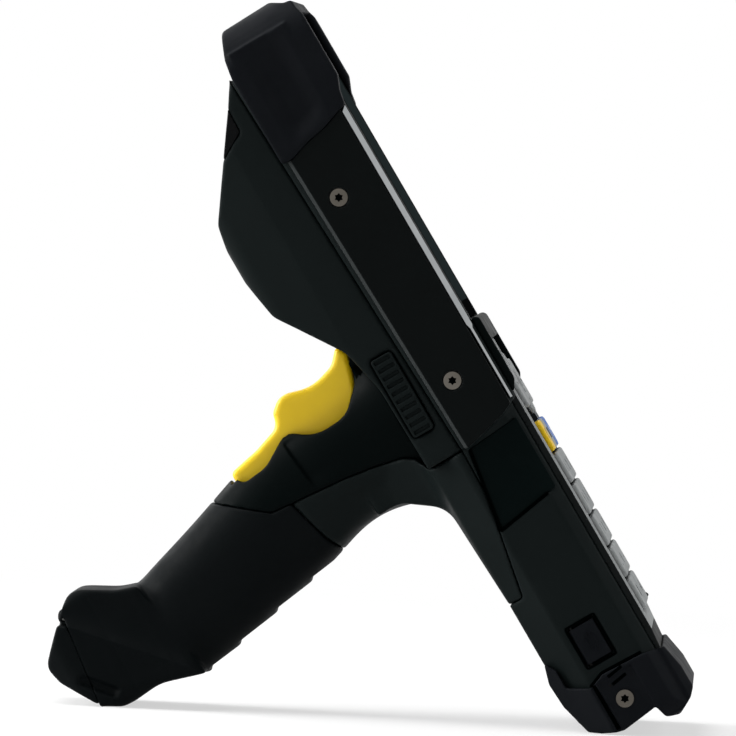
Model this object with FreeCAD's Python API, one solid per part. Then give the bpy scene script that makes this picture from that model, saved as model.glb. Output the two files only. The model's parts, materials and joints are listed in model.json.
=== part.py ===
"""Gun-grip barcode data terminal, in millimetres.

While it is modelled, x is depth (0 at the back of the lower body, growing
towards the display), y runs across (the side with the port lid is -y) and z
runs along the body from its bottom end. One placement at the end stands the
terminal on its grip foot and bottom bumper, with +Z up.
"""
import FreeCAD, Part
import math
import os

# Lengths along the body, from its bottom end
body_length = 230.5
top_boot_reach = 41.5
display_section_start = 94.8
tongue_end = 50.2
bottom_boot_height = 20.0
keypad_top = 117.5
collar_height = 7.9

# Depths
face_depth = 32.0
display_sink = 0.6
bezel_thickness = 2.4
trim_width = 2.0
seam_depth_low = 10.8
seam_depth_high = 6.9
seam_high_from_top = 21.5
housing_top_margin = 5.0
boot_lip_rise = 2.4
collar_rise = 2.3

# Widths, as half widths and steps between them
display_half_width = 37.2
waist_step = 2.2
rear_step = 2.8
plate_thickness = 1.8
boot_cover = 0.8
waist_depth = 1.4
bulge_half_width = 24.0
handle_half_width = 15.6
foot_half_width = 19.0

# Walls and clearances
wall = 2.2
running_gap = 0.3
seam_gap = 0.12
pin_gap = 0.05

# Display
glass_side_margin = 5.2
glass_thickness = 1.3
glass_top_margin = 6.4
panel_side_margin = 4.5
panel_thickness = 3.6
panel_margin_low = 5.5
panel_margin_high = 5.5

# Keypad
key_columns = 3
key_side_margin = 8.9
key_gap = 3.0
key_height = 7.1
row_pitch = 10.2
colour_row_level = 86.3
digit_rows = 4
key_rise = 1.2
key_travel = 0.9
key_flange = 0.6
flange_thickness = 1.2
key_round = 1.6
pad_level = 103.0
pad_overhang = 0.9
side_key_height = 12.0
side_key_inset = 2.4
wide_key_inset = 2.1
membrane_thickness = 1.4
membrane_gap = 0.15

# Scan bulge, seen from the side
bulge_depth = -18.9
bulge_high_level = 176.0
bulge_low_level = 166.0
chin_depth = -12.6
chin_level = 147.6
bulge_round = 7.0
window_length = 14.4
window_sink = 4.0

# Trigger
trigger_half_width = 7.5
trigger_swing = 4.5
trigger_pivot_depth = -46.0
trigger_pivot_level = 112.5
trigger_pin_radius = 1.5
trigger_pin_half_length = 11.4
trigger_tail_depth = -14.5
trigger_tail_level = 116.0
well_clearance = 2.3
switch_low = 104.9
switch_top = 110.6

# Handle, tube and battery
tube_start = -53.5
tube_end = -110.5
tube_start_level = 99.7
tube_end_level = 92.2
cell_radius = 9.1
cell_length = 50.0
tube_wall = 1.5
spigot_half_width = 7.0
sleeve_end_depth = -87.0
sleeve_step = 0.8

# Grip foot and its end door
door_pin_depth = -111.2
door_pin_level = 110.2
door_pin_radius = 1.0
door_knuckle_radius = 2.3
door_knuckle_half_length = 7.0
door_low_depth = -114.8
door_low_level = 83.0
rest_flat_depth = 0.6

# Points (depth, level) that the terminal stands on before its flats are cut
bumper_rest = (1.6, 7.6)
foot_rest = (-112.4, 81.1)

# Side latches
latch_low = 104.2
latch_high = 129.0
latch_back = 0.8
latch_front = 7.4
latch_thickness = 3.2
latch_travel = 1.2
latch_slots = 10
slot_height = 1.1

# Port and its lid
port_low = 24.2
port_high = 36.6
port_back = 10.6
port_front = 19.4
port_depth = 2.8
plug_half_depth = 1.6
plug_half_length = 4.3
lid_thickness = 1.6
lid_pin_radius = 0.45
lid_knuckle_radius = 0.9
lid_margin = 0.8

# Bumpers
boot_screw_depth = 15.3
boot_screw_level = 11.8
scoop_radius = 9.0
scoop_depth = 1.2

# Screws
screw_sink = 0.1
screw_head_radius = 2.5
screw_head_height = 1.0
screw_shank_radius = 1.25
star_radius = 1.3
star_depth = 0.7

# Boards
board_thickness = 1.6
main_board_gap = 6.0
standoff_radius = 2.5


def corner_wire(corners, place):
    """Closed wire through corners (u, v, radius), rounded where a radius is given."""
    count = len(corners)
    edges = []
    joints = []
    for index in range(count):
        before = corners[index - 1]
        here = corners[index]
        after = corners[(index + 1) % count]
        start = FreeCAD.Vector(before[0] - here[0], before[1] - here[1], 0)
        end = FreeCAD.Vector(after[0] - here[0], after[1] - here[1], 0)
        centre = FreeCAD.Vector(here[0], here[1], 0)
        radius = here[2] if len(here) > 2 else 0.0
        if radius <= 0.0:
            joints.append((centre, centre, centre))
            continue
        half_turn = start.getAngle(end) / 2.0
        setback = radius / math.tan(half_turn)
        start.normalize()
        end.normalize()
        middle_way = start + end
        middle_way.normalize()
        near = radius / math.sin(half_turn) - radius
        middle = centre + middle_way * near
        joints.append((centre + start * setback, middle, centre + end * setback))
    for index in range(count):
        first, middle, last = joints[index]
        following = joints[(index + 1) % count][0]
        if (first - last).Length > 1e-6:
            edges.append(Part.Arc(place(first), place(middle), place(last)).toShape())
        if (last - following).Length > 1e-6:
            edges.append(Part.LineSegment(place(last), place(following)).toShape())
    return Part.Wire(edges)


def side_prism(corners, low, high):
    """Solid with an outline of (depth, length) corners, from y = low to y = high."""
    wire = corner_wire(corners, lambda v: FreeCAD.Vector(v.x, low, v.y))
    return Part.Face(wire).extrude(FreeCAD.Vector(0, high - low, 0))


def front_prism(corners, low, high):
    """Solid with an outline of (across, length) corners, from depth low to depth high."""
    wire = corner_wire(corners, lambda v: FreeCAD.Vector(low, v.x, v.y))
    return Part.Face(wire).extrude(FreeCAD.Vector(high - low, 0, 0))


def plan_prism(corners, low, high):
    """Solid with an outline of (depth, across) corners, from length low to length high."""
    wire = corner_wire(corners, lambda v: FreeCAD.Vector(v.x, v.y, low))
    return Part.Face(wire).extrude(FreeCAD.Vector(0, 0, high - low))


def block(depths, across, lengths):
    """Plain box between two depths, two widths and two lengths."""
    corner = FreeCAD.Vector(depths[0], across[0], lengths[0])
    return Part.makeBox(depths[1] - depths[0], across[1] - across[0], lengths[1] - lengths[0], corner)


def both_sides(half):
    """Mirrored outline of (depth, across) corners: the half given and its copy at -y."""
    copy = [(corner[0], -corner[1]) + tuple(corner[2:]) for corner in reversed(half)]
    return half + copy


def mirrored(shape):
    """Copy of a shape on the other side of the middle plane."""
    return shape.mirror(FreeCAD.Vector(0, 0, 0), FreeCAD.Vector(0, 1, 0))


def seam_depth(level):
    """Depth of the seam between the main housing and what is behind it."""
    high_level = body_length - seam_high_from_top
    share = (level - display_section_start) / (high_level - display_section_start)
    return seam_depth_low + (seam_depth_high - seam_depth_low) * share


def rod(radius, start, end):
    """Round bar between two points."""
    way = end - start
    return Part.makeCylinder(radius, way.Length, start, way)


def cross_rod(radius, depth, level, low, high):
    """Round bar across the body, from y = low to y = high."""
    return rod(radius, FreeCAD.Vector(depth, low, level), FreeCAD.Vector(depth, high, level))


# Levels, depths and widths that follow from the sizes above
display_face_depth = face_depth - display_sink
body_half_width = display_half_width - waist_step
rear_half_width = display_half_width - rear_step
glass_half_width = display_half_width - glass_side_margin
panel_half_width = glass_half_width - panel_side_margin
column_pitch = (body_half_width - key_side_margin + key_gap / 2.0) / (key_columns / 2.0)
key_width = column_pitch - key_gap
pad_radius = key_width / 2.0 + pad_overhang
side_key_width = key_width - side_key_inset
wide_key_width = column_pitch + key_width / 2.0 - wide_key_inset
boot_start = body_length - top_boot_reach
housing_top = body_length - housing_top_margin
collar_top = keypad_top + collar_height
glass_low = collar_top + running_gap
glass_top = body_length - glass_top_margin
bezel_back = face_depth - bezel_thickness
plate_outer = display_half_width + plate_thickness
boot_outer = plate_outer + boot_cover
trim_back = display_face_depth - trim_width
panel_back = display_face_depth - glass_thickness - panel_thickness
latch_outer = rear_half_width - 0.2
door_ear_reach = foot_half_width - 5.0
lid_axis_depth = port_back + lid_knuckle_radius + running_gap
lid_axis_across = -body_half_width + lid_knuckle_radius
board_low = display_section_start + 8.0
board_high = housing_top - 10.0
board_back = seam_depth(board_low) + wall + main_board_gap
keypad_inner_half = body_half_width - waist_depth - wall - 2.0
membrane_top = bezel_back - running_gap - flange_thickness - key_travel - membrane_gap
boot_line = [
    (seam_depth_low, boot_start),
    (trim_back - 12.4, boot_start + 2.0),
    (trim_back - 6.7, boot_start + 3.1),
    (trim_back, boot_start + 5.4),
]


def display_section():
    """Outer block of the wide display section."""
    low = display_section_start
    outline = [
        (seam_depth_high + 4.6, housing_top, 1.0),
        (seam_depth(body_length - 15.0), body_length - 15.0),
        (seam_depth(low), low),
        (seam_depth_low + 2.6, low - 0.2),
        (trim_back - 3.9, low + 2.9),
        (display_face_depth, low + 5.5),
        (display_face_depth, housing_top),
    ]
    half = [
        (seam_depth_high - 3.0, rear_half_width),
        (seam_depth_low, display_half_width),
        (trim_back, display_half_width),
        (display_face_depth, display_half_width - trim_width),
    ]
    across = plan_prism(both_sides(half), low - 1.0, housing_top + 1.0)
    return side_prism(outline, -boot_outer, boot_outer).common(across)


def lower_half_outline(front, inset=0.0):
    """Half of the lower body's section: back bevel, side, front bevel up to depth front."""
    bevel_start = face_depth - 6.1
    slope = 4.0 / 6.1
    return [
        (inset, body_half_width - 8.0 - inset),
        (8.5 + inset * 0.4, body_half_width - inset),
        (bevel_start - inset * 0.4, body_half_width - inset),
        (front, body_half_width - (front - bevel_start) * slope - inset),
    ]


def tongue_line():
    """Back edge of the lower body under the handle's tongue, from the seam down."""
    return [
        (seam_depth_low, display_section_start + 1.0),
        (seam_depth_low - 0.3, display_section_start - 13.4),
        (9.1, display_section_start - 21.8, 6.0),
        (4.6, tongue_end),
    ]


def lower_section(front):
    """Outer block of the lower body, from its bottom end up into the display section."""
    outline = tongue_line() + [
        (0.0, tongue_end),
        (0.0, 12.0, 4.0),
        (3.0, 7.0, 3.0),
        (front, 4.5),
        (front, display_section_start + 8.0),
        (seam_depth_low, display_section_start + 8.0),
    ]
    across = plan_prism(both_sides(lower_half_outline(front)), 0.0, display_section_start + 9.0)
    return side_prism(outline, -boot_outer, boot_outer).common(across)


def waist_outline(margin):
    """Side outline of the dark waist panel, drawn in by a margin."""
    top = display_section_start - 0.7 - margin
    low = display_section_start - 25.0 + margin
    return [
        (seam_depth_low + 1.9 + margin, top),
        (bezel_back - 1.0 - margin, top + 1.2),
        (bezel_back - 1.0 - margin, low + 3.0),
        (8.9 + margin, low),
    ]


def waist_panel(side):
    """Thin dark facet let into the side of the waist."""
    face = body_half_width - waist_depth
    panel = side_prism(waist_outline(seam_gap), face, face + waist_depth - 0.5)
    return panel if side > 0 else mirrored(panel)


def housing_cavity():
    """Inner space of the main housing, open to the front behind the keypad bezel."""
    low = display_section_start
    upper_outline = [
        (seam_depth_high + 4.6 + wall, housing_top - wall),
        (seam_depth(body_length - 15.0) + wall, body_length - 15.0 - wall),
        (seam_depth(low) + wall, low + 2.0),
        (panel_back - 0.6, low + 7.0),
        (panel_back - 0.6, housing_top - wall),
    ]
    upper_half = display_half_width - wall
    upper = side_prism(upper_outline, -upper_half, upper_half)
    lower_outline = [
        (seam_depth_low + wall, low + 10.0),
        (seam_depth_low + wall, low - 14.0),
        (wall + 5.0, tongue_end + 1.0),
        (wall + 0.6, tongue_end - wall),
        (wall + 0.6, 14.0),
        (wall + 3.0, 10.0),
        (bezel_back + 0.5, 10.0),
        (bezel_back + 0.5, low + 10.0),
    ]
    lower_side = body_half_width - waist_depth - wall
    half = [
        (wall + 0.4, body_half_width - 8.0 - wall),
        (9.6, lower_side),
        (bezel_back - 5.2, lower_side),
        (bezel_back - 2.0, lower_side - 2.0),
        (bezel_back + 1.0, lower_side - 2.0),
    ]
    lower = side_prism(lower_outline, -lower_side, lower_side)
    lower = lower.common(plan_prism(both_sides(half), 0.0, low + 12.0))
    keypad_bay = block(
        (panel_back - 1.0, bezel_back + 0.5),
        (2.0 - lower_side, lower_side - 2.0),
        (low, keypad_top - 2.0),
    )
    return upper.fuse([lower, keypad_bay])


def port_well():
    """Thick wall round the port, on the inner side of the housing's side."""
    return block(
        (port_back - 1.6, port_front + 1.6),
        (-body_half_width + 0.01, -body_half_width + port_depth + 1.6),
        (port_low - 1.6, port_high + 1.6),
    )


def port_recess():
    """Space that the port lid lies in."""
    return block(
        (port_back, port_front),
        (-body_half_width - 1.0, -body_half_width + port_depth),
        (port_low, port_high),
    )


def plug_space(margin):
    """Slot of the data port, through the floor of the recess."""
    middle = (port_back + port_front) / 2.0
    level = (port_low + port_high) / 2.0
    return block(
        (middle - plug_half_depth - margin, middle + plug_half_depth + margin),
        (-body_half_width + port_depth - 0.5, -body_half_width + port_depth + 8.0),
        (level - plug_half_length - margin, level + plug_half_length + margin),
    )


def screw_places():
    """Depth and level of the two screws of a side plate."""
    return [(16.7, boot_start - 15.8), (18.4, display_section_start + 18.2)]


def board_standoffs():
    """Places of the standoffs under the main board, as (across, level)."""
    across = display_half_width - wall - 5.0
    levels = (display_section_start + 12.0, housing_top - 16.0)
    return [(side * across, level) for side in (-1, 1) for level in levels]


def main_housing():
    """The shell that carries everything: display section, waist and lower body."""
    shell = display_section().fuse(lower_section(bezel_back))
    shell = shell.cut(housing_cavity()).fuse(port_well())
    shell = shell.cut(port_recess()).cut(plug_space(running_gap))
    panel_window = block(
        (panel_back - 2.0, display_face_depth),
        (-panel_half_width - running_gap, panel_half_width + running_gap),
        (glass_low + panel_margin_low - running_gap, glass_top - panel_margin_high + running_gap),
    )
    glass_seat = block(
        (display_face_depth - glass_thickness, display_face_depth + 1.0),
        (-glass_half_width - running_gap, glass_half_width + running_gap),
        (glass_low - running_gap, glass_top + running_gap),
    )
    bezel_seat = block(
        (bezel_back, face_depth),
        (-body_half_width + 2.0, body_half_width - 2.0),
        (0.0, keypad_top + seam_gap),
    )
    shell = shell.cut([panel_window, glass_seat, bezel_seat])
    for side in (-1, 1):
        face = body_half_width - waist_depth
        pocket = side_prism(waist_outline(0.0), face, boot_outer)
        shell = shell.cut(pocket if side > 0 else mirrored(pocket))
        for depth, level in screw_places():
            low = side * (display_half_width - wall - 0.5)
            hole = cross_rod(screw_shank_radius + pin_gap, depth, level, low, side * boot_outer)
            shell = shell.cut(hole)
    for across, level in board_standoffs():
        start = FreeCAD.Vector(seam_depth(level) + wall - 0.5, across, level)
        end = FreeCAD.Vector(board_back, across, level)
        shell = shell.fuse(rod(standoff_radius, start, end))
    return shell.cut(boot_screw_hole(1)).cut(boot_screw_hole(-1)).removeSplitter()


def boot_screw_hole(side):
    """Hole for the screw that holds the bottom bumper to the housing."""
    inner = side * (body_half_width - waist_depth - wall - 0.5)
    return cross_rod(screw_shank_radius + pin_gap, boot_screw_depth, boot_screw_level, inner, side * 50.0)


def side_plate(side):
    """Bevelled cover plate over one side of the display section."""
    low = display_section_start
    outline = [
        (seam_depth_high + 1.7, boot_start),
        (seam_depth_low + 0.3, low - 0.2),
        (seam_depth_low + 2.6, low - 0.2),
        (trim_back - 3.9, low + 2.9),
        (trim_back, low + 4.6),
    ]
    outline = outline + list(reversed(boot_line))
    plate = side_prism(outline, display_half_width, plate_outer)
    bevel = []
    for edge in plate.Edges:
        ends = [vertex.Point for vertex in edge.Vertexes]
        outer = all(abs(point.y - plate_outer) < 0.01 for point in ends)
        left = all(point.x < seam_depth_low + 0.5 for point in ends)
        if outer and left and edge.Length > top_boot_reach:
            bevel.append(edge)
    plate = plate.makeChamfer(plate_thickness - 0.3, bevel)
    for depth, level in screw_places():
        floor = plate_outer - screw_sink - screw_head_height
        sink = cross_rod(screw_head_radius + 0.4, depth, level, floor, 50.0)
        hole = cross_rod(screw_shank_radius + pin_gap, depth, level, 0.0, 50.0)
        plate = plate.cut([sink, hole])
    return plate if side > 0 else mirrored(plate)


def star_screw(depth, level, head_face, length, side):
    """Countersunk star screw, its head's outer face at y = side * head_face."""
    face = side * head_face
    head = cross_rod(screw_head_radius, depth, level, face - side * screw_head_height, face)
    shank = cross_rod(screw_shank_radius, depth, level, face - side * length, face)
    start = FreeCAD.Vector(depth, side * (head_face - star_depth), level)
    star = star_prism(start, side)
    return head.fuse(shank).cut(star).removeSplitter()


def star_prism(start, side):
    """Six-lobed recess of a star screw."""
    points = []
    lobes = 6
    for step in range(lobes * 2):
        radius = star_radius if step % 2 == 0 else star_radius * 0.68
        angle = math.pi * step / lobes
        points.append(start + FreeCAD.Vector(radius * math.cos(angle), 0, radius * math.sin(angle)))
    wire = Part.makePolygon(points + [points[0]])
    return Part.Face(wire).extrude(FreeCAD.Vector(0, side * 5.0, 0))


def plate_screws():
    """The four screws of the side plates."""
    screws = []
    for side in (-1, 1):
        for depth, level in screw_places():
            screws.append(star_screw(depth, level, plate_outer - screw_sink, plate_thickness + wall, side))
    return Part.makeCompound(screws)


def side_trim(side):
    """Bright strip on the bevel between a side plate and the display face."""
    section = [
        (trim_back, display_half_width),
        (trim_back, plate_outer - 0.2),
        (display_face_depth, plate_outer - trim_width - 0.2),
        (display_face_depth, display_half_width - trim_width),
    ]
    low = display_section_start + 6.0
    bar = plan_prism(section, low, boot_start + 6.0)
    outline = [
        (trim_back, low),
        (display_face_depth, low),
        (display_face_depth, boot_start + 5.9),
        (trim_back, boot_start + 4.6),
    ]
    bar = bar.common(side_prism(outline, 0.0, boot_outer))
    return bar if side > 0 else mirrored(bar)


def boot_side_outline():
    """Side outline of the top bumper."""
    top = body_length
    return [(seam_depth_high + 0.7, boot_start)] + boot_line + [
        (display_face_depth, boot_start + 5.9),
        (display_face_depth + 0.6, boot_start + 9.9),
        (display_face_depth + boot_lip_rise, boot_start + 14.1),
        (display_face_depth + boot_lip_rise, top - 7.7),
        (display_face_depth + 1.7, top - 5.4),
        (display_face_depth + 1.4, top - 2.6),
        (display_face_depth - 0.9, top - 2.3),
        (display_face_depth - 4.5, top),
        (11.1, top - 0.6, 1.5),
        (seam_depth_high + 1.4, top - 8.2),
        (seam_depth_high + 0.5, top - 13.9),
    ]


def top_bumper():
    """Rubber boot over the top end, with a raised lip round the display's corners."""
    outer = side_prism(boot_side_outline(), -boot_outer, boot_outer)
    corner_radius = 13.0
    front = [
        (-boot_outer, boot_start - 1.0),
        (boot_outer, boot_start - 1.0),
        (boot_outer, body_length + 0.1, corner_radius),
        (-boot_outer, body_length + 0.1, corner_radius),
    ]
    boot = outer.common(front_prism(front, 0.0, face_depth + 10.0))
    boot = boot.cut(display_section())
    view = block(
        (display_face_depth - 0.01, face_depth + 10.0),
        (-glass_half_width - 1.4, glass_half_width + 1.4),
        (boot_start - 2.0, glass_top + running_gap),
    )
    boot = boot.cut(view)
    for side in (-1, 1):
        across = side * (boot_outer + scoop_radius - scoop_depth)
        middle = FreeCAD.Vector(trim_back - 6.4, across, boot_start + 9.0)
        scoop = rod(scoop_radius, middle, middle + FreeCAD.Vector(0, 0, top_boot_reach - 16.0))
        boot = boot.cut(scoop)
    return boot.removeSplitter()


def bottom_bumper():
    """Rubber boot over the bottom end, standing proud of the back of the body."""
    outline = [
        (0.2, bottom_boot_height + 11.3),
        (-1.6, bottom_boot_height + 5.4, 1.5),
        (-1.2, 18.0, 2.0),
        bumper_rest + (1.0,),
        (9.4, 4.3, 1.0),
        (10.8, 4.1),
        (face_depth - 10.4, 5.4),
        (face_depth - 9.4, 1.4, 1.0),
        (face_depth - 5.7, 0.0, 1.5),
        (face_depth - 0.6, 2.8, 2.0),
        (face_depth + 1.4, 5.0, 1.0),
        (face_depth + 1.4, 11.5, 1.0),
        (face_depth, bottom_boot_height - 1.1),
        (face_depth - 6.6, bottom_boot_height + 0.3),
        (13.2, bottom_boot_height + 0.8),
        (8.5, bottom_boot_height - 1.1),
        (2.3, bottom_boot_height + 2.3),
        (2.3, bottom_boot_height + 8.0),
    ]
    half_width = body_half_width + 1.8
    outer = side_prism(outline, -half_width, half_width)
    corner_radius = 7.0
    front = [
        (-half_width, 0.0, corner_radius),
        (half_width, 0.0, corner_radius),
        (half_width, bottom_boot_height + 20.0),
        (-half_width, bottom_boot_height + 20.0),
    ]
    half = [
        (-3.0, body_half_width - 8.4),
        (8.0, half_width),
        (face_depth - 5.0, half_width),
        (face_depth + 2.0, half_width - 5.5),
    ]
    boot = outer.common(front_prism(front, -10.0, face_depth + 10.0))
    boot = boot.common(plan_prism(both_sides(half), -1.0, bottom_boot_height + 20.0))
    boot = boot.cut(lower_section(bezel_back)).cut(keypad_bezel_blank())
    for side in (-1, 1):
        panel = block(
            (10.3, face_depth - 10.4),
            (half_width - 0.9, half_width + 1.0),
            (-1.0, bottom_boot_height - 0.6),
        )
        hole = cross_rod(screw_shank_radius + pin_gap, boot_screw_depth, boot_screw_level, 0.0, 50.0)
        for tool in (panel, hole):
            boot = boot.cut(tool if side > 0 else mirrored(tool))
    return cut_to_rest(boot).removeSplitter()


def bumper_screws():
    """The two screws of the bottom bumper."""
    face = body_half_width + 0.9 + screw_head_height
    length = face - body_half_width + wall
    screws = [star_screw(boot_screw_depth, boot_screw_level, face, length, side) for side in (-1, 1)]
    return Part.makeCompound(screws)


def keypad_bezel_blank():
    """Outer shape of the keypad bezel, with no key holes."""
    low_end = bottom_boot_height - 6.0
    outline = [
        (bezel_back, keypad_top),
        (face_depth, keypad_top),
        (face_depth, bottom_boot_height + 11.0, 20.0),
        (face_depth - 1.5, low_end),
        (bezel_back, low_end),
    ]
    bevel_start = face_depth - 6.1
    slope = 4.0 / 6.1
    back_half = body_half_width - (bezel_back - bevel_start) * slope
    half = [(bezel_back, back_half), (face_depth, body_half_width - 4.0)]
    plan = both_sides(half)
    return side_prism(outline, -body_half_width, body_half_width).common(
        plan_prism(plan, 0.0, keypad_top + 1.0)
    )


def key_list():
    """Every key as (name, across, level, width, height)."""
    keys = []
    keys.append(("left_soft_key", -column_pitch, pad_level, side_key_width, side_key_height))
    keys.append(("select_pad", 0.0, pad_level, pad_radius * 2.0, pad_radius * 2.0))
    keys.append(("right_soft_key", column_pitch, pad_level, side_key_width, side_key_height))
    keys.append(("yellow_shift_key", -column_pitch, colour_row_level, key_width, key_height))
    keys.append(("scan_key", 0.0, colour_row_level, key_width, key_height))
    keys.append(("blue_shift_key", column_pitch, colour_row_level, key_width, key_height))
    names = ["1", "2", "3", "4", "5", "6", "7", "8", "9", "dot", "0", "dash"]
    for row in range(digit_rows):
        for column in range(key_columns):
            across = (column - 1) * column_pitch
            level = colour_row_level - (row + 1) * row_pitch
            name = "key_" + names[row * key_columns + column]
            keys.append((name, across, level, key_width, key_height))
    last_level = colour_row_level - (digit_rows + 1) * row_pitch
    offset = column_pitch + key_width / 2.0 - wide_key_width / 2.0
    keys.append(("power_key", -offset, last_level, wide_key_width, key_height))
    keys.append(("enter_key", offset, last_level, wide_key_width, key_height))
    return keys


def key_block(across, level, width, height, grow, low, high, radius):
    """Rounded block of a key's outline, grown on every side, between two depths."""
    half = width / 2.0 + grow
    rise = height / 2.0 + grow
    corners = [
        (across - half, level - rise, radius),
        (across + half, level - rise, radius),
        (across + half, level + rise, radius),
        (across - half, level + rise, radius),
    ]
    return front_prism(corners, low, high)


def key_corner(name):
    """Corner radius of a key: the select pad is nearly round."""
    return pad_radius - 0.6 if name == "select_pad" else key_round


def keypad_bezel():
    """Front plate of the lower body, with a hole for each key and a fin on its edge."""
    plate = keypad_bezel_blank()
    holes = []
    for name, across, level, width, height in key_list():
        radius = key_corner(name) + running_gap
        holes.append(key_block(across, level, width, height, running_gap, 0.0, face_depth + 5.0, radius))
    plate = plate.cut(holes)
    fin_low = bottom_boot_height + 10.5
    fin_outline = [
        (face_depth - 0.8, fin_low - 0.6),
        (face_depth + 1.7, fin_low + 0.8),
        (face_depth - 0.6, fin_low + 5.6),
    ]
    fin = side_prism(fin_outline, body_half_width - 7.4, body_half_width - 5.6)
    return plate.fuse(fin).removeSplitter()


def key_shape(name, across, level, width, height):
    """One key: rounded cap with softened edges and a flange under the bezel."""
    radius = key_corner(name)
    bottom = bezel_back - running_gap - flange_thickness
    cap = key_block(across, level, width, height, 0.0, bottom, face_depth + key_rise, radius)
    top_edges = [edge for edge in cap.Edges if edge.BoundBox.XMin > face_depth + key_rise - 0.01]
    cap = cap.makeFillet(0.5, top_edges)
    flange = key_block(
        across, level, width, height, key_flange + running_gap, bottom, bottom + flange_thickness, radius
    )
    return cap.fuse(flange).removeSplitter()


def keypad_membrane():
    """Rubber sheet that the keys press through, on the keypad board."""
    across = keypad_inner_half - 1.0
    return block(
        (membrane_top - membrane_thickness, membrane_top),
        (-across, across),
        (bottom_boot_height, keypad_top - 4.0),
    )


def keypad_board():
    """Board that the keys press on."""
    top = membrane_top - membrane_thickness
    across = keypad_inner_half - running_gap
    levels = (bottom_boot_height - 4.0, keypad_top - 3.0)
    return block((top - board_thickness, top), (-across, across), levels)


def keypad_collar():
    """Raised bar above the keypad, with an arm down each side of it."""
    top = face_depth + collar_rise - 0.6
    arm_end = display_section_start + 7.2
    outline = [
        (display_face_depth, arm_end),
        (face_depth, arm_end),
        (top, arm_end + 3.0, 2.0),
        (top, collar_top, 1.6),
        (display_face_depth, collar_top),
    ]
    half = display_half_width - trim_width - 0.2
    collar = side_prism(outline, -half, half)
    keypad_space = block(
        (bezel_back, face_depth + 10.0),
        (-body_half_width + 2.7, body_half_width - 2.7),
        (0.0, keypad_top + seam_gap),
    )
    return collar.cut(keypad_space)


def display_glass():
    """Cover glass of the display."""
    corner_radius = 2.5
    corners = [
        (-glass_half_width, glass_low, corner_radius),
        (glass_half_width, glass_low, corner_radius),
        (glass_half_width, glass_top, corner_radius),
        (-glass_half_width, glass_top, corner_radius),
    ]
    return front_prism(corners, display_face_depth - glass_thickness, display_face_depth)


def display_panel():
    """Display module behind the glass."""
    front = display_face_depth - glass_thickness
    return block(
        (front - panel_thickness, front),
        (-panel_half_width, panel_half_width),
        (glass_low + panel_margin_low, glass_top - panel_margin_high),
    )


def main_board():
    """Board with the processor, on four standoffs, with its larger chips."""
    across = display_half_width - wall - running_gap - 0.7
    board = block((board_back, board_back + board_thickness), (-across, across), (board_low, board_high))
    chips = []
    for low, high, start, end in ((-12.0, 4.0, 0.45, 0.6), (8.0, 20.0, 0.5, 0.6), (-22.0, 18.0, 0.7, 0.85)):
        levels = [board_low + (board_high - board_low) * share for share in (start, end)]
        chips.append(block((board_back + board_thickness - 0.01, board_back + 3.0), (low, high), levels))
    return board.fuse(chips)


def data_port():
    """Connector behind the port lid."""
    shell = plug_space(0.0)
    tongue = plug_space(-0.5)
    tongue.translate(FreeCAD.Vector(0, -1.0, 0))
    blade = plug_space(-1.2)
    return shell.cut(tongue).fuse(blade)


def port_lid():
    """Small hinged lid over the data port."""
    plate = block(
        (lid_axis_depth, port_front - lid_margin),
        (-body_half_width, -body_half_width + lid_thickness),
        (port_low + lid_margin, port_high - lid_margin),
    )
    relief = rod(
        lid_knuckle_radius,
        FreeCAD.Vector(lid_axis_depth, lid_axis_across, port_low + lid_margin),
        FreeCAD.Vector(lid_axis_depth, lid_axis_across, port_high - lid_margin),
    )
    hole = rod(
        lid_pin_radius + pin_gap,
        FreeCAD.Vector(lid_axis_depth, lid_axis_across, port_low),
        FreeCAD.Vector(lid_axis_depth, lid_axis_across, port_high),
    )
    return plate.fuse(relief).cut(hole).removeSplitter()


def port_lid_pin():
    """Hinge pin of the port lid, across its recess."""
    start = FreeCAD.Vector(lid_axis_depth, lid_axis_across, port_low)
    end = FreeCAD.Vector(lid_axis_depth, lid_axis_across, port_high)
    return rod(lid_pin_radius, start, end)


def bulge_crown():
    """Where the scan bulge's sloping face starts at its top, and where it ends below."""
    return (2.0, body_length - 20.2), (bulge_depth + 1.6, bulge_high_level + 7.6)


def window_outline():
    """Side outline of the scan window: a wedge let into the bulge's sloping face."""
    high, foot = bulge_crown()
    slope = math.atan2(high[1] - foot[1], high[0] - foot[0])
    down = (-math.cos(slope), -math.sin(slope))
    out = (down[1], -down[0])
    low = (high[0] + down[0] * window_length, high[1] + down[1] * window_length)
    apex = (high[0] - 0.2, high[1] - window_sink / math.cos(slope) - 0.3)
    return [
        high,
        (high[0] + out[0], high[1] + out[1]),
        (low[0] + out[0], low[1] + out[1]),
        low,
        apex,
    ]


def rear_outline():
    """Side outline of the rear housing: scan bulge above, latch panel below."""
    top = body_length
    high, foot = bulge_crown()
    return [
        (seam_depth(top - 12.6) - seam_gap, top - 12.6),
        (6.2, top - 13.8, 2.0),
        high,
        foot + (4.0,),
        (bulge_depth, bulge_high_level, 8.0),
        (bulge_depth, bulge_low_level, 8.0),
        (bulge_depth + 2.2, bulge_low_level - 12.4, 6.0),
        (chin_depth, chin_level, 3.0),
        (-3.9, 134.6, 4.0),
        (-0.8, 120.8, 15.0),
        (-0.3, display_section_start),
        (seam_depth(display_section_start) - seam_gap, display_section_start),
    ]


def rear_plan(inset, corner_radius):
    """Half of the rear housing's section across, drawn in by an inset."""
    return [
        (seam_depth_low + 2.0, rear_half_width - inset),
        (-3.0, rear_half_width - 2.0 - inset),
        (bulge_depth + inset, bulge_half_width + 3.0 - inset * 1.6, corner_radius),
    ]


def rear_body():
    """Outer block of the rear housing."""
    outer = side_prism(rear_outline(), -boot_outer, boot_outer)
    across = plan_prism(both_sides(rear_plan(0.0, bulge_round)), 0.0, body_length)
    return outer.common(across)


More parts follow.
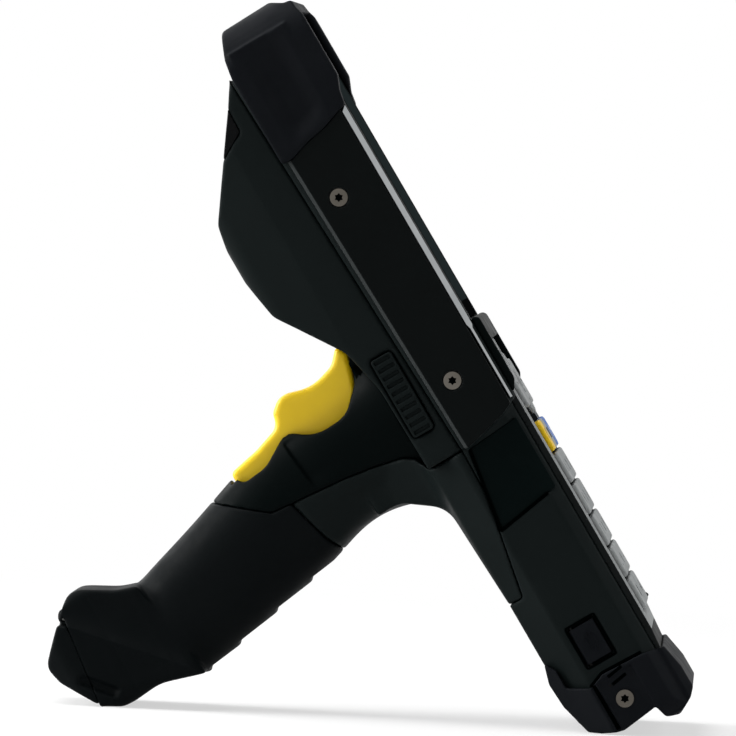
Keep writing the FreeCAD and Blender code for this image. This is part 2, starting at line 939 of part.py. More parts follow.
def rear_cavity():
    """Inner space of the rear housing, open towards the main housing."""
    high = bulge_crown()[0]
    outline = [
        (seam_depth_low + 1.0, body_length - 18.0),
        (high[0] + 3.6, high[1] - 1.0),
        (bulge_depth + 1.6 + wall * 1.2, bulge_high_level + 6.0, 3.0),
        (bulge_depth + wall, bulge_high_level, 6.0),
        (bulge_depth + wall, bulge_low_level, 6.0),
        (bulge_depth + 2.2 + wall, bulge_low_level - 11.4, 4.0),
        (chin_depth + wall, chin_level + 1.8, 2.0),
        (-0.3 + wall, 133.0, 3.0),
        (-0.3 + wall, display_section_start + wall),
        (seam_depth_low + 1.0, display_section_start + wall),
    ]
    outer = side_prism(outline, -boot_outer, boot_outer)
    across = plan_prism(both_sides(rear_plan(wall, bulge_round - wall)), 0.0, body_length)
    return outer.common(across)


def latch_space(margin, low, high):
    """Block of a side latch, grown by a margin, between two widths."""
    corners = [
        (latch_back - margin, latch_low - margin, 1.0),
        (latch_front + margin, latch_low - margin, 1.0),
        (latch_front + margin, latch_high + margin, 1.0),
        (latch_back - margin, latch_high + margin, 1.0),
    ]
    return side_prism(corners, low, high)


def rear_housing():
    """Back shell with the scan bulge and the pockets of the side latches."""
    shell = rear_body().cut(rear_cavity())
    window = side_prism(window_outline(), -boot_outer, boot_outer)
    shell = shell.cut(window).cut(trigger_well())
    floor = latch_outer - latch_thickness - latch_travel - running_gap
    pocket = latch_space(running_gap, floor, boot_outer)
    return shell.cut([pocket, mirrored(pocket)]).removeSplitter()


def scan_window():
    """Dark wedge-shaped window that the scanner looks through."""
    wedge = side_prism(window_outline(), -boot_outer, boot_outer)
    return wedge.common(rear_body())


def side_latch(side):
    """Ribbed button that is squeezed to free the handle."""
    button = latch_space(0.0, latch_outer - latch_thickness, latch_outer)
    pitch = (latch_high - latch_low) / latch_slots
    middle = (latch_back + latch_front) / 2.0
    for index in range(latch_slots):
        level = latch_low + pitch * (index + 0.5)
        slot = block(
            (middle - 2.5, middle + 2.5),
            (latch_outer - 0.8, latch_outer + 1.0),
            (level - slot_height / 2.0, level + slot_height / 2.0),
        )
        button = button.cut(slot)
    return button if side > 0 else mirrored(button)


def scan_engine():
    """Imager that looks out through the scan window, seated on the main housing."""
    low = body_length - 53.0
    high = body_length - 41.5
    outline = [
        (seam_depth(high) - seam_gap, high),
        (seam_depth(low) - seam_gap, low),
        (-9.0, low),
        (-9.0, high),
    ]
    half = 11.0
    body = side_prism(outline, -half, half)
    lens = rod(3.5, FreeCAD.Vector(0.0, 0, high - 0.5), FreeCAD.Vector(-0.6, 0, high + 5.0))
    return body.fuse(lens)


def speaker():
    """Speaker in the rear housing, seated on the main housing."""
    low = 143.0
    high = 163.0
    outline = [
        (seam_depth(high) - seam_gap, high),
        (seam_depth(low) - seam_gap, low),
        (seam_depth(low) - 5.0, low + 1.0),
        (seam_depth(high) - 5.0, high - 1.0),
    ]
    return side_prism(outline, -10.0, 10.0)


def handle_section(front, back, half_width):
    """Closed soft-cornered section between a front point and a back point (depth, level)."""
    softness = 2.0 / 2.6
    front_point = FreeCAD.Vector(front[0], 0, front[1])
    back_point = FreeCAD.Vector(back[0], 0, back[1])
    centre = (front_point + back_point) * 0.5
    reach = (front_point - back_point) * 0.5
    across = FreeCAD.Vector(0, half_width, 0)
    count = 20
    points = []
    for step in range(count):
        angle = 2.0 * math.pi * step / count
        along = math.copysign(abs(math.cos(angle)) ** softness, math.cos(angle))
        aside = math.copysign(abs(math.sin(angle)) ** softness, math.sin(angle))
        points.append(centre + reach * along + across * aside)
    curve = Part.BSplineCurve()
    curve.interpolate(Points=points, PeriodicFlag=True)
    return Part.Wire(curve.toShape())


def handle_form():
    """Whole soft form of the handle, from inside the rear housing to the foot."""
    w = handle_half_width
    end = sleeve_end_depth
    stations = [
        ((2.0, 137.0), (2.0, 83.0), w + 3.4),
        ((-12.0, 127.0), (-11.0, 88.4), w + 0.9),
        ((-25.0, 125.0), (-23.5, 89.6), w - 0.2),
        ((-38.5, 123.6), (-35.5, 86.3), w),
        ((-51.0, 120.2), (-46.5, 83.4), w + 0.6),
        ((-70.0, 113.8), (-65.0, 79.7), w + 0.4),
        ((end - 2.0, 107.9), (end + 3.0, 75.9), w - 0.4),
    ]
    sections = [handle_section(*station) for station in stations]
    return Part.makeLoft(sections, True, False)


def sleeve_edge():
    """Edge where the grip sleeve meets the handle shells, from the back to the front."""
    start, end = parting_line()[:2]
    share = (start[0] + 39.4) / (start[0] - end[0])
    corner_level = start[1] + (end[1] - start[1]) * share
    return [
        (-33.0, 70.0),
        (-34.1, 88.2),
        (-36.1, 92.7),
        (-39.4, corner_level - seam_gap),
        (start[0], start[1] - seam_gap),
        (-59.7, 117.5 - seam_gap),
        (-61.0, 135.0),
    ]


def parting_line():
    """Seam between the front and rear shells of the handle, from the grip to the body."""
    return [
        (-45.4, 106.2),
        (-22.3, 104.2),
        (-13.0, 102.8),
        (-5.9, 101.1),
        (-2.5, 98.9),
        (-0.4, display_section_start),
    ]


def trigger_edge():
    """Front edge of the handle's sides round the trigger, from the body to the grip."""
    return [
        (-3.0, 139.0),
        (-5.9, 134.0),
        (-6.6, 126.5, 6.0),
        (-13.5, 119.4, 8.0),
        (-24.0, 118.6, 12.0),
        (-31.2, 124.0, 2.0),
        (-40.5, 118.2, 8.0),
        (-49.0, 117.2, 2.5),
        (-50.3, 122.5),
        (-50.3, 145.0),
        (-3.0, 145.0),
    ]


def tube_axis():
    """Start and end of the grip tube's axis."""
    start = FreeCAD.Vector(tube_start, 0, tube_start_level)
    end = FreeCAD.Vector(tube_end, 0, tube_end_level)
    return start, end


def tube_hole():
    """Round hole through shells, sleeve and foot that the grip tube fills."""
    start, end = tube_axis()
    way = end - start
    way.normalize()
    radius = cell_radius + running_gap + tube_wall + seam_gap
    return rod(radius, start - way * 0.2, end + way * 12.0)


def spigot_space(margin):
    """Block by which the grip tube is keyed into the handle's shells."""
    top = min(level for depth, level in parting_line()[:2]) - 0.9
    return block(
        (tube_start - 2.0, tube_start + 12.5 + margin),
        (-spigot_half_width - margin, spigot_half_width + margin),
        (tube_start_level - 9.5 - margin, top + margin),
    )


def trigger_well():
    """Slot that the trigger swings in, open to the front."""
    half = trigger_half_width + running_gap + 0.1
    tail_reach = trigger_tail_depth - trigger_pivot_depth
    floor = trigger_tail_level - tail_reach * math.sin(math.radians(trigger_swing)) - well_clearance
    outline = [
        (-2.2, 139.6),
        (-0.9, 131.0),
        (-4.5, 121.0, 3.0),
        (-13.0, floor, 4.0),
        (-27.0, 109.0),
        (trigger_pivot_depth - 4.6, trigger_pivot_level - 4.2, 2.0),
        (trigger_pivot_depth - 5.6, 118.0),
        (trigger_pivot_depth - 5.2, 135.0),
        (-20.0, 139.6),
    ]
    return side_prism(outline, -half, half)


def switch_space(margin):
    """Block of the trigger switch under the trigger well."""
    across = 5.0 + margin
    return block((-26.0 - margin, -14.0 + margin), (-across, across), (switch_low, switch_top))


def spring_space(margin):
    """Ring space for the trigger's return spring, beside its slot."""
    inner = trigger_half_width + running_gap + 0.05
    radius = trigger_pin_radius + 1.4 + margin
    outer = inner + 2.2 + margin
    return cross_rod(radius, trigger_pivot_depth, trigger_pivot_level, inner, outer)


def handle_front_shell():
    """Front half of the handle, with the trigger's slot, switch seat and pin holes."""
    region = list(reversed(parting_line())) + [(-59.7, 117.5), (-61.0, 135.0), (-30.0, 150.0)]
    region = region + [(-4.5, 135.2), (-0.95, 120.8)]
    grown = side_prism(region, -40.0, 40.0)
    shell = handle_form().common(grown)
    shell = shell.cut(side_prism(trigger_edge(), -40.0, 40.0))
    shell = shell.cut([trigger_well(), tube_hole(), spigot_space(seam_gap)]).cut(rear_body())
    pin = trigger_pin_half_length
    hole = cross_rod(trigger_pin_radius + pin_gap, trigger_pivot_depth, trigger_pivot_level, -pin, pin)
    return shell.cut([hole, switch_space(seam_gap), spring_space(running_gap)]).removeSplitter()


def tongue_form():
    """Flared foot of the handle that runs down the back of the body."""
    line = tongue_line()
    outline = [
        (seam_depth_low - seam_gap, display_section_start - 0.4),
        (seam_depth_low - 0.3 - seam_gap, line[1][1]),
        (9.1 - seam_gap, line[2][1], 6.0),
        (4.6 - seam_gap, tongue_end + seam_gap),
        (0.0, tongue_end + seam_gap),
        (-1.0, 70.0, 20.0),
        (-1.6, 82.5, 9.0),
        (-13.0, 90.5, 9.0),
        (-20.0, 90.2),
        (-20.0, 103.7 - seam_gap),
        (-13.0, 102.8 - seam_gap),
        (-5.9, 101.1 - seam_gap),
        (-2.5, 98.9 - seam_gap),
        (-0.4, display_section_start - 0.4),
    ]
    half = [
        (seam_depth_low + 2.0, body_half_width),
        (8.5, body_half_width),
        (0.0, body_half_width - 8.0, 3.0),
        (-2.0, handle_half_width + 4.5, 5.0),
        (-14.0, handle_half_width - 1.0, 8.0),
        (-21.0, handle_half_width - 1.6),
    ]
    across = plan_prism(both_sides(half), 0.0, body_length)
    return side_prism(outline, -body_half_width, body_half_width).common(across)


def handle_rear_shell():
    """Rear half of the handle with its tongue down the back of the body."""
    region = [(-0.4, display_section_start - 0.4)]
    for depth, level in reversed(parting_line()[:-1]):
        region.append((depth, level - seam_gap))
    region = region + [(-39.4 + seam_gap, 105.6), (-36.1 + seam_gap, 92.7)]
    region = region + [(-34.1 + seam_gap, 88.2), (-33.0 + seam_gap, 70.0), (-0.4, 70.0)]
    region = [corner for corner in region if corner[0] > -40.0]
    shell = handle_form().common(side_prism(region, -40.0, 40.0)).fuse(tongue_form())
    shell = shell.cut([tube_hole(), spigot_space(seam_gap), switch_space(seam_gap)]).cut(rear_body())
    return shell.removeSplitter()


def sleeve_steps():
    """Wedges cut from the sleeve's back, which leave its stepped finger-side outline."""
    wedges = []
    starts = [-33.5, -45.9, -59.0, -72.7, -83.4]
    for index in range(len(starts) - 1):
        high = starts[index]
        low = starts[index + 1]
        level_high = back_line(high)
        level_low = back_line(low)
        outline = [
            (high, level_high - sleeve_step),
            (high, level_high - 6.0),
            (low, level_low - 6.0),
            (low, level_low + 0.1),
        ]
        wedges.append(side_prism(outline, -40.0, 40.0))
    return wedges


def back_line(depth):
    """Level of the sleeve's back line at a depth."""
    return 86.8 + (depth + 34.1) * 0.2


def grip_sleeve():
    """Rubber sleeve of the grip."""
    edge = [(depth - seam_gap, level) for depth, level in sleeve_edge()]
    end = sleeve_end_depth
    high, low = sleeve_end_line()
    region = edge + [
        (end - 6.5, 135.0),
        (high[0] + seam_gap, high[1]),
        (low[0] + seam_gap, low[1]),
        (end + 4.0, 70.0),
    ]
    sleeve = handle_form().common(side_prism(region, -40.0, 40.0))
    return sleeve.cut(sleeve_steps()).cut([tube_hole(), spigot_space(seam_gap)]).removeSplitter()


def grip_tube():
    """Tube through the grip that ties handle and foot together and holds the battery."""
    start, end = tube_axis()
    outer = cell_radius + running_gap + tube_wall
    tube = rod(outer, start, end).fuse(spigot_space(0.0))
    return tube.cut(rod(cell_radius + running_gap, start, end))


def battery_cell():
    """Battery cell inside the grip tube, with its raised contact."""
    start, end = tube_axis()
    way = end - start
    slack = way.Length - cell_length
    way.normalize()
    low = start + way * (slack - 2.0)
    high = low + way * cell_length
    return rod(cell_radius, low, high).fuse(rod(3.0, high - way * 0.1, high + way * 1.2))


def battery_contact():
    """Contact board that closes the inner end of the grip tube."""
    start, end = tube_axis()
    way = end - start
    slack = way.Length - cell_length
    way.normalize()
    disc = rod(cell_radius, start, start + way * board_thickness)
    stub = rod(3.0, start + way * (board_thickness - 0.1), start + way * (slack - 2.0))
    return disc.fuse(stub)


def sleeve_end_line():
    """High and low ends of the seam between the grip sleeve and the foot."""
    return (sleeve_end_depth - 2.0, 107.9), (sleeve_end_depth + 3.0, 75.9)


def foot_form():
    """Whole outer form of the foot, with the end door."""
    end = sleeve_end_depth
    high, low = sleeve_end_line()
    outline = [
        (high[0], high[1] - 0.3),
        (end - 8.0, 109.6, 10.0),
        (-106.4, 116.6, 5.0),
        (-123.0, 100.4, 4.0),
        (-121.6, 94.6, 4.0),
        (-112.6, 80.1, 3.5),
        (-105.9, 79.6, 8.0),
        (-97.0, 80.4, 12.0),
        (low[0] - 0.1, low[1] + 0.4),
    ]
    half = [
        (end + 4.0, handle_half_width - 0.6),
        (end - 4.0, handle_half_width + 0.2, 10.0),
        (-103.0, foot_half_width, 8.0),
        (-117.0, foot_half_width, 6.0),
        (-123.0, foot_half_width - 4.5, 3.0),
    ]
    form = side_prism(outline, -foot_half_width, foot_half_width)
    form = form.common(plan_prism(both_sides(half), 0.0, body_length))
    bevel = 4.0
    for side in (-1, 1):
        for low_level, slant in ((79.0, 1.0), (117.0, -1.0)):
            wedge = [
                (side * (foot_half_width - bevel), low_level - slant * 2.0),
                (side * (foot_half_width + 2.0), low_level - slant * 2.0),
                (side * (foot_half_width + 2.0), low_level + slant * (bevel + 3.0)),
            ]
            form = form.cut(front_prism(wedge, -125.0, -80.0))
    return form


def door_region(margin):
    """Side outline of the end door, moved out from the foot by a margin."""
    return [
        (door_pin_depth - margin, door_pin_level),
        (door_low_depth - margin, door_low_level),
        (door_low_depth - margin, 70.0),
        (-140.0, 70.0),
        (-140.0, door_pin_level),
    ]


def door_knuckle(radius, low, high):
    """Bar round the door's hinge axis."""
    return cross_rod(radius, door_pin_depth, door_pin_level, low, high)


def grip_foot():
    """Foot of the grip, which the terminal stands on, with the hinge ears of its door."""
    foot = foot_form().cut(side_prism(door_region(0.0), -40.0, 40.0))
    reach = door_knuckle_half_length + running_gap
    foot = foot.cut(door_knuckle(door_knuckle_radius + running_gap, -reach, reach))
    ears = door_knuckle(door_knuckle_radius, -door_ear_reach, door_ear_reach)
    ears = ears.cut(door_knuckle(9.0, -reach, reach))
    foot = foot.fuse(ears).cut(tube_hole())
    foot = foot.cut(door_knuckle(door_pin_radius + pin_gap, -door_ear_reach, door_ear_reach))
    return cut_to_rest(foot).removeSplitter()


def battery_door():
    """Hinged door at the end of the foot, over the battery."""
    door = foot_form().common(side_prism(door_region(running_gap), -40.0, 40.0))
    ear_space = door_knuckle(door_knuckle_radius + running_gap, -foot_half_width, foot_half_width)
    door = door.cut(ear_space)
    knuckle = door_knuckle(door_knuckle_radius, -door_knuckle_half_length, door_knuckle_half_length)
    arm = block(
        (door_pin_depth - 3.6, door_pin_depth),
        (-door_knuckle_half_length, door_knuckle_half_length),
        (door_pin_level - 3.4, door_pin_level),
    ).common(foot_form())
    foot_side = [
        (door_pin_depth, door_pin_level + 1.0),
        (door_pin_depth + 9.0, door_pin_level + 1.0),
        (door_low_depth + 9.0, door_low_level),
        (door_low_depth, door_low_level),
    ]
    arm = arm.cut(side_prism(foot_side, -40.0, 40.0))
    door = door.fuse([knuckle, arm])
    return door.cut(door_knuckle(door_pin_radius + pin_gap, -30.0, 30.0)).removeSplitter()


def door_pin():
    """Hinge pin of the end door."""
    return door_knuckle(door_pin_radius, -door_ear_reach + 0.5, door_ear_reach - 0.5)


def trigger():
    """Yellow trigger: finger scoop, tail along the handle, and pivot lug."""
    outline = [
        (-6.4, 138.2, 1.2),
        (-10.5, 133.6, 6.0),
        (-18.5, 131.2, 14.0),
        (-27.6, 133.8, 4.5),
        (-31.6, 130.4, 2.5),
        (-32.6, 126.4, 4.0),
        (-41.0, 123.6, 12.0),
        (-50.6, 121.6, 1.8),
        (-50.0, 114.0, 3.0),
        (trigger_pivot_depth - 2.6, trigger_pivot_level - 2.9, 2.0),
        (trigger_pivot_depth + 2.6, trigger_pivot_level - 2.7, 2.0),
        (-28.0, 114.6, 6.0),
        (trigger_tail_depth, trigger_tail_level, 4.0),
        (-7.5, 124.0, 3.0),
        (-4.6, 134.5, 2.0),
    ]
    half = trigger_half_width
    body = side_prism(outline, -half, half)
    front_edges = []
    for edge in body.Edges:
        middle = edge.CenterOfMass
        on_side = abs(abs(middle.y) - half) < 0.01
        if on_side and middle.z > 121.4 and middle.x < -6.0 and middle.x > -50.0:
            front_edges.append(edge)
    body = body.makeFillet(1.6, front_edges)
    hole = cross_rod(trigger_pin_radius + pin_gap, trigger_pivot_depth, trigger_pivot_level, -half, half)
    return body.cut(hole)


def trigger_pin():
    """Pin that the trigger swings on."""
    half = trigger_pin_half_length
    return cross_rod(trigger_pin_radius, trigger_pivot_depth, trigger_pivot_level, -half, half)


def trigger_spring():
    """Torsion spring round the trigger pin, beside the slot."""
    ring = spring_space(0.0)
    hole = cross_rod(trigger_pin_radius + 0.2, trigger_pivot_depth, trigger_pivot_level, 0.0, 20.0)
    return ring.cut(hole)


def trigger_switch():
    """Switch that the trigger presses."""
    body = switch_space(0.0)
    plunger = rod(1.5, FreeCAD.Vector(-20.0, 0, switch_top - 0.1), FreeCAD.Vector(-20.0, 0, switch_top + 0.9))
    return body.fuse(plunger)


def rest_tilt():
    """Angle in degrees that the body leans back when foot and bumper stand on one plane."""
    rise = foot_rest[1] - bumper_rest[1]
    return math.degrees(math.atan2(rise, bumper_rest[0] - foot_rest[0]))


def cut_to_rest(shape):
    """Shape with a small flat where it stands on the table."""
    tilt = math.radians(rest_tilt())
    up = FreeCAD.Vector(math.sin(tilt), 0, math.cos(tilt))
    along = FreeCAD.Vector(math.cos(tilt), 0, -math.sin(tilt))
    on_plane = FreeCAD.Vector(bumper_rest[0], 0, bumper_rest[1]) + up * rest_flat_depth
    size = 300.0
    slab = Part.makeBox(size, size, size)
    slab.translate(FreeCAD.Vector(-size / 2.0, -size / 2.0, -size))
    slab.rotate(FreeCAD.Vector(0, 0, 0), FreeCAD.Vector(0, 1, 0), math.degrees(math.atan2(-along.z, along.x)))
    slab.translate(on_plane)
    return shape.cut(slab)


def all_parts():
    """Every sub-part by its name."""
    parts = {
        "main_housing": main_housing(),
        "rear_housing": rear_housing(),
        "handle_front_shell": handle_front_shell(),
        "handle_rear_shell": handle_rear_shell(),
        "grip_sleeve": grip_sleeve(),
        "grip_tube": grip_tube(),
        "grip_foot": grip_foot(),
        "battery_door": battery_door(),
        "door_pin": door_pin(),
        "battery_cell": battery_cell(),
        "battery_contact": battery_contact(),
        "top_bumper": top_bumper(),
        "bottom_bumper": bottom_bumper(),
        "side_plate_left": side_plate(1),
        "side_plate_right": side_plate(-1),
        "side_trim_left": side_trim(1),
        "side_trim_right": side_trim(-1),
        "plate_screws": plate_screws(),
        "bumper_screws": bumper_screws(),
        "waist_panel_left": waist_panel(1),
        "waist_panel_right": waist_panel(-1),
        "keypad_collar": keypad_collar(),
        "keypad_bezel": keypad_bezel(),
        "keypad_membrane": keypad_membrane(),
        "keypad_board": keypad_board(),
        "display_glass": display_glass(),
        "display_panel": display_panel(),
        "main_board": main_board(),
        "data_port": data_port(),
        "port_lid": port_lid(),
        "port_lid_pin": port_lid_pin(),
        "scan_window": scan_window(),
        "scan_engine": scan_engine(),
        "speaker": speaker(),
        "side_latch_left": side_latch(1),
        "side_latch_right": side_latch(-1),
        "trigger": trigger(),
        "trigger_pin": trigger_pin(),
        "trigger_spring": trigger_spring(),
        "trigger_switch": trigger_switch(),
    }
    for name, across, level, width, height in key_list():
        parts[name] = key_shape(name, across, level, width, height)
    return parts


def standing_placement(parts):
    """Placement that stands the terminal up, with the middle of its box on the origin."""
    turn = FreeCAD.Rotation(FreeCAD.Vector(0, 1, 0), -rest_tilt())
    box = FreeCAD.BoundBox()
    for shape in parts.values():
        turned = shape.copy()
        turned.Placement = FreeCAD.Placement(FreeCAD.Vector(0, 0, 0), turn)
        box.add(turned.optimalBoundingBox(True, False))
    shift = FreeCAD.Vector(-(box.XMin + box.XMax) / 2.0, -(box.YMin + box.YMax) / 2.0, -box.ZMin)
    return FreeCAD.Placement(shift, turn)


def main():
    """Build every sub-part and write it to its own file."""
    os.makedirs("parts", exist_ok=True)
    parts = all_parts()
    placement = standing_placement(parts)
    print("tilt", round(rest_tilt(), 3), "shift", placement.Base)
    for name, shape in parts.items():
        shape.Placement = placement
        shape.exportStep("parts/" + name + ".step")
        box = shape.BoundBox
        print(name, "solids", len(shape.Solids), "valid", shape.isValid(), "volume", round(shape.Volume, 1),
              "z", round(box.ZMin, 2), round(box.ZMax, 2))


if __name__ == "__main__":
    main()
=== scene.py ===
"""Visual model of a gun-grip barcode data terminal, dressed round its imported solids.

Shapes are worked in millimetres in the terminal's own directions: depth (0 at
the back of the lower body, growing towards the display), across (the side with
the port lid is negative) and level (along the body from its bottom end).
"""
import json
import logging
import math
from dataclasses import dataclass
from enum import Enum
from typing import Callable, Optional, Sequence

import bmesh
import bpy
import numpy as np
from mathutils import Matrix, Vector

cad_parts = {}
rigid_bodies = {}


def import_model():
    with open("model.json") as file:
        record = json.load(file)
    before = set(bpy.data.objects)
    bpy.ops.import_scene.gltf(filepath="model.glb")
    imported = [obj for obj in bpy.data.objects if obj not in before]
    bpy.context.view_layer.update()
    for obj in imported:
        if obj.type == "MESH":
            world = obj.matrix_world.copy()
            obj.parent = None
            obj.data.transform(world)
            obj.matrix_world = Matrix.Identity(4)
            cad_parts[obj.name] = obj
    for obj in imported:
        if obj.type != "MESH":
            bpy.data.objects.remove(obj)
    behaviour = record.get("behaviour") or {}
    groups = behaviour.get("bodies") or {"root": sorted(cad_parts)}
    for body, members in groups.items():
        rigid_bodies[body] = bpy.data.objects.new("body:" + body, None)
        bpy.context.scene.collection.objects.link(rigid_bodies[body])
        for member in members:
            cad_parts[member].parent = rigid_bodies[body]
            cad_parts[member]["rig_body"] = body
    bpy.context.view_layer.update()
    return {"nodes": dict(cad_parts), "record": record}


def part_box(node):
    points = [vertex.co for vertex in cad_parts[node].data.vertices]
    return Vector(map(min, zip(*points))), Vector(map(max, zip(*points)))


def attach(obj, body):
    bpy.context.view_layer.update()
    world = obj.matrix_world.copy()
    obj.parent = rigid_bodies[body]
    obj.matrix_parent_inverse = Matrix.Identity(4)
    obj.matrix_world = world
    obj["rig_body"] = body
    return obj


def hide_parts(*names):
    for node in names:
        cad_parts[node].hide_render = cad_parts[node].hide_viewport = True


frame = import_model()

MM = 0.001
GAP_SUNK = 0.3
GAP_PROUD = 0.04
CORNER_PROUD = 0.035
SHARP_ANGLE = 40.0
Corner = tuple[float, float]
Mover = Callable[[np.ndarray], np.ndarray]

logging.basicConfig(level=logging.INFO, format="%(levelname)s %(message)s")
log = logging.getLogger("terminal")


@dataclass(frozen=True)
class BodyFrame:
    """Where the leaning body stands in the row frame."""

    foot_rise: float = 73.5
    foot_reach: float = 114.0
    glass_back: float = 30.1
    glass_low: float = 125.7
    glass_high: float = 224.1

    @property
    def tilt(self) -> float:
        """Angle in radians that the body leans back."""
        return math.atan2(self.foot_rise, self.foot_reach)

    @property
    def depth_axis(self) -> Vector:
        """Direction out of the display."""
        return Vector((math.cos(self.tilt), 0.0, math.sin(self.tilt)))

    @property
    def level_axis(self) -> Vector:
        """Direction along the body, towards its top."""
        return Vector((-math.sin(self.tilt), 0.0, math.cos(self.tilt)))

    def matrix(self) -> Matrix:
        """Transform from millimetres in the body's directions to the row frame.

        Returns:
            A matrix that turns, scales and shifts, set by the display glass.
        """
        low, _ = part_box("display_glass")
        turn = Matrix((self.depth_axis, (0.0, 1.0, 0.0), self.level_axis)).transposed()
        least_x = turn @ Vector((self.glass_back, 0.0, self.glass_high))
        least_z = turn @ Vector((self.glass_back, 0.0, self.glass_low))
        shift = Vector((low.x - least_x.x * MM, 0.0, low.z - least_z.z * MM))
        return Matrix.Translation(shift) @ (turn * MM).to_4x4()

    def place(self, depth: float, across: float, level: float) -> Vector:
        """Point of the row frame, in metres.

        Args:
            depth: Millimetres towards the display.
            across: Millimetres across the body.
            level: Millimetres along the body.

        Returns:
            The same point in the row frame.
        """
        return self.matrix() @ Vector((depth, across, level))


BODY = BodyFrame()
TO_ROW = BODY.matrix()
TO_BODY = TO_ROW.inverted()


class Grain(Enum):
    """How the surface of a finish is worked."""

    MOULDED = "moulded"
    RUBBER = "rubber"
    BRUSHED = "brushed"
    SMOOTH = "smooth"


def linear(shade: Sequence[float]) -> tuple[float, float, float, float]:
    """Linear colour of an sRGB shade.

    Args:
        shade: Red, green and blue from 0 to 255.

    Returns:
        Red, green, blue and an alpha of 1, linear.
    """
    parts = [c / 255.0 for c in shade]
    red, green, blue = [c / 12.92 if c <= 0.04045 else ((c + 0.055) / 1.055) ** 2.4 for c in parts]
    return (red, green, blue, 1.0)


@dataclass(frozen=True)
class Finish:
    """Procedural surface of one of the terminal's materials."""

    name: str
    slot: str
    shade: tuple[int, int, int]
    worn_shade: tuple[int, int, int]
    roughness: float
    grain: Grain = Grain.MOULDED
    grain_size: float = 0.35
    grain_depth: float = 0.012
    specular: float = 0.03
    metallic: float = 0.0
    patch_size: float = 26.0

    def material(self) -> bpy.types.Material:
        """The finish's material, made the first time it is asked for."""
        made = bpy.data.materials.get(self.name)
        return made if made else self._make()

    def _make(self) -> bpy.types.Material:
        """Builds the node tree: worn patches, uneven gloss and a grain in relief.

        Returns:
            The new material.
        """
        material = bpy.data.materials.new(self.name)
        material.use_nodes = True
        tree = material.node_tree
        shader = tree.nodes["Principled BSDF"]
        shader.inputs["Metallic"].default_value = self.metallic
        shader.inputs["Specular IOR Level"].default_value = self.specular
        place = tree.nodes.new("ShaderNodeTexCoord")
        vector = place.outputs["Object"]
        if self.grain is Grain.BRUSHED:
            vector = self._stretch(tree, vector)
        patches = noise(tree, place.outputs["Object"], 1000.0 / self.patch_size, 4.0)
        fine = noise(tree, vector, 1000.0 / self.grain_size, 3.0)
        mix = tree.nodes.new("ShaderNodeMix")
        mix.data_type = "RGBA"
        mix.inputs[6].default_value = linear(self.shade)
        mix.inputs[7].default_value = linear(self.worn_shade)
        spread(tree, patches, mix.inputs[0], 0.42, 0.75, 0.0, 1.0)
        self._colour(tree, mix.outputs[2], shader)
        uneven = 0.04 if self.grain is Grain.SMOOTH else 0.09
        rough = noise(tree, place.outputs["Object"], 160.0, 5.0)
        low, high = max(self.roughness - uneven, 0.02), min(self.roughness + uneven, 1.0)
        spread(tree, rough, shader.inputs["Roughness"], 0.3, 0.7, low, high)
        bump = tree.nodes.new("ShaderNodeBump")
        bump.inputs["Distance"].default_value = self.grain_depth * MM
        bump.inputs["Strength"].default_value = 1.0
        tree.links.new(fine, bump.inputs["Height"])
        tree.links.new(bump.outputs["Normal"], shader.inputs["Normal"])
        return material

    def _colour(self, tree: bpy.types.NodeTree, colour: bpy.types.NodeSocket,
                shader: bpy.types.Node) -> None:
        """Gives the shader its colour."""
        tree.links.new(colour, shader.inputs["Base Color"])

    def _stretch(self, tree: bpy.types.NodeTree, vector: bpy.types.NodeSocket) -> bpy.types.NodeSocket:
        """Draws the grain out along the body, as brushing does."""
        turn = tree.nodes.new("ShaderNodeMapping")
        turn.inputs["Rotation"].default_value = (0.0, BODY.tilt, 0.0)
        turn.inputs["Scale"].default_value = (1.0, 1.0, 0.04)
        tree.links.new(vector, turn.inputs["Vector"])
        return turn.outputs["Vector"]


@dataclass(frozen=True)
class ScreenFinish(Finish):
    """Black glass with the dim screen showing inside its printed border."""

    screen_shade: tuple[int, int, int] = (38, 45, 46)
    screen_half: float = 27.0
    screen_low: float = 131.0
    screen_high: float = 218.5

    def _colour(self, tree: bpy.types.NodeTree, colour: bpy.types.NodeSocket,
                shader: bpy.types.Node) -> None:
        """Mixes the screen's shade in where the screen lies."""
        place = tree.nodes.new("ShaderNodeTexCoord").outputs["Object"]
        origin = BODY.place(0.0, 0.0, 0.0).dot(BODY.level_axis)
        level = dot(tree, place, BODY.level_axis)
        across = dot(tree, place, Vector((0.0, 1.0, 0.0)))
        side = math_node(tree, "ABSOLUTE", across, 0.0)
        inside = [
            math_node(tree, "LESS_THAN", side, self.screen_half * MM),
            math_node(tree, "GREATER_THAN", level, origin + self.screen_low * MM),
            math_node(tree, "LESS_THAN", level, origin + self.screen_high * MM),
        ]
        mask = math_node(tree, "MULTIPLY", math_node(tree, "MULTIPLY", inside[0], inside[1]), inside[2])
        lay_over(tree, colour, self.screen_shade, mask, shader)


@dataclass(frozen=True)
class BevelHighlightFinish(Finish):
    """Black cover with a painted highlight that lightens its bevelled edge."""

    bevel_highlight_shade: tuple[int, int, int] = (44, 47, 47)
    edge_half: float = 38.85

    def _colour(self, tree: bpy.types.NodeTree, colour: bpy.types.NodeSocket,
                shader: bpy.types.Node) -> None:
        """Mixes the painted highlight in where the bevel falls away from the face."""
        place = tree.nodes.new("ShaderNodeTexCoord").outputs["Object"]
        side = math_node(tree, "ABSOLUTE", dot(tree, place, Vector((0.0, 1.0, 0.0))), 0.0)
        mix = tree.nodes.new("ShaderNodeMix")
        mix.data_type = "RGBA"
        mix.inputs[7].default_value = linear(self.bevel_highlight_shade)
        spread(tree, side, mix.inputs[0], self.edge_half * MM, (self.edge_half - 0.3) * MM, 0.0, 1.0)
        tree.links.new(colour, mix.inputs[6])
        tree.links.new(mix.outputs[2], shader.inputs["Base Color"])


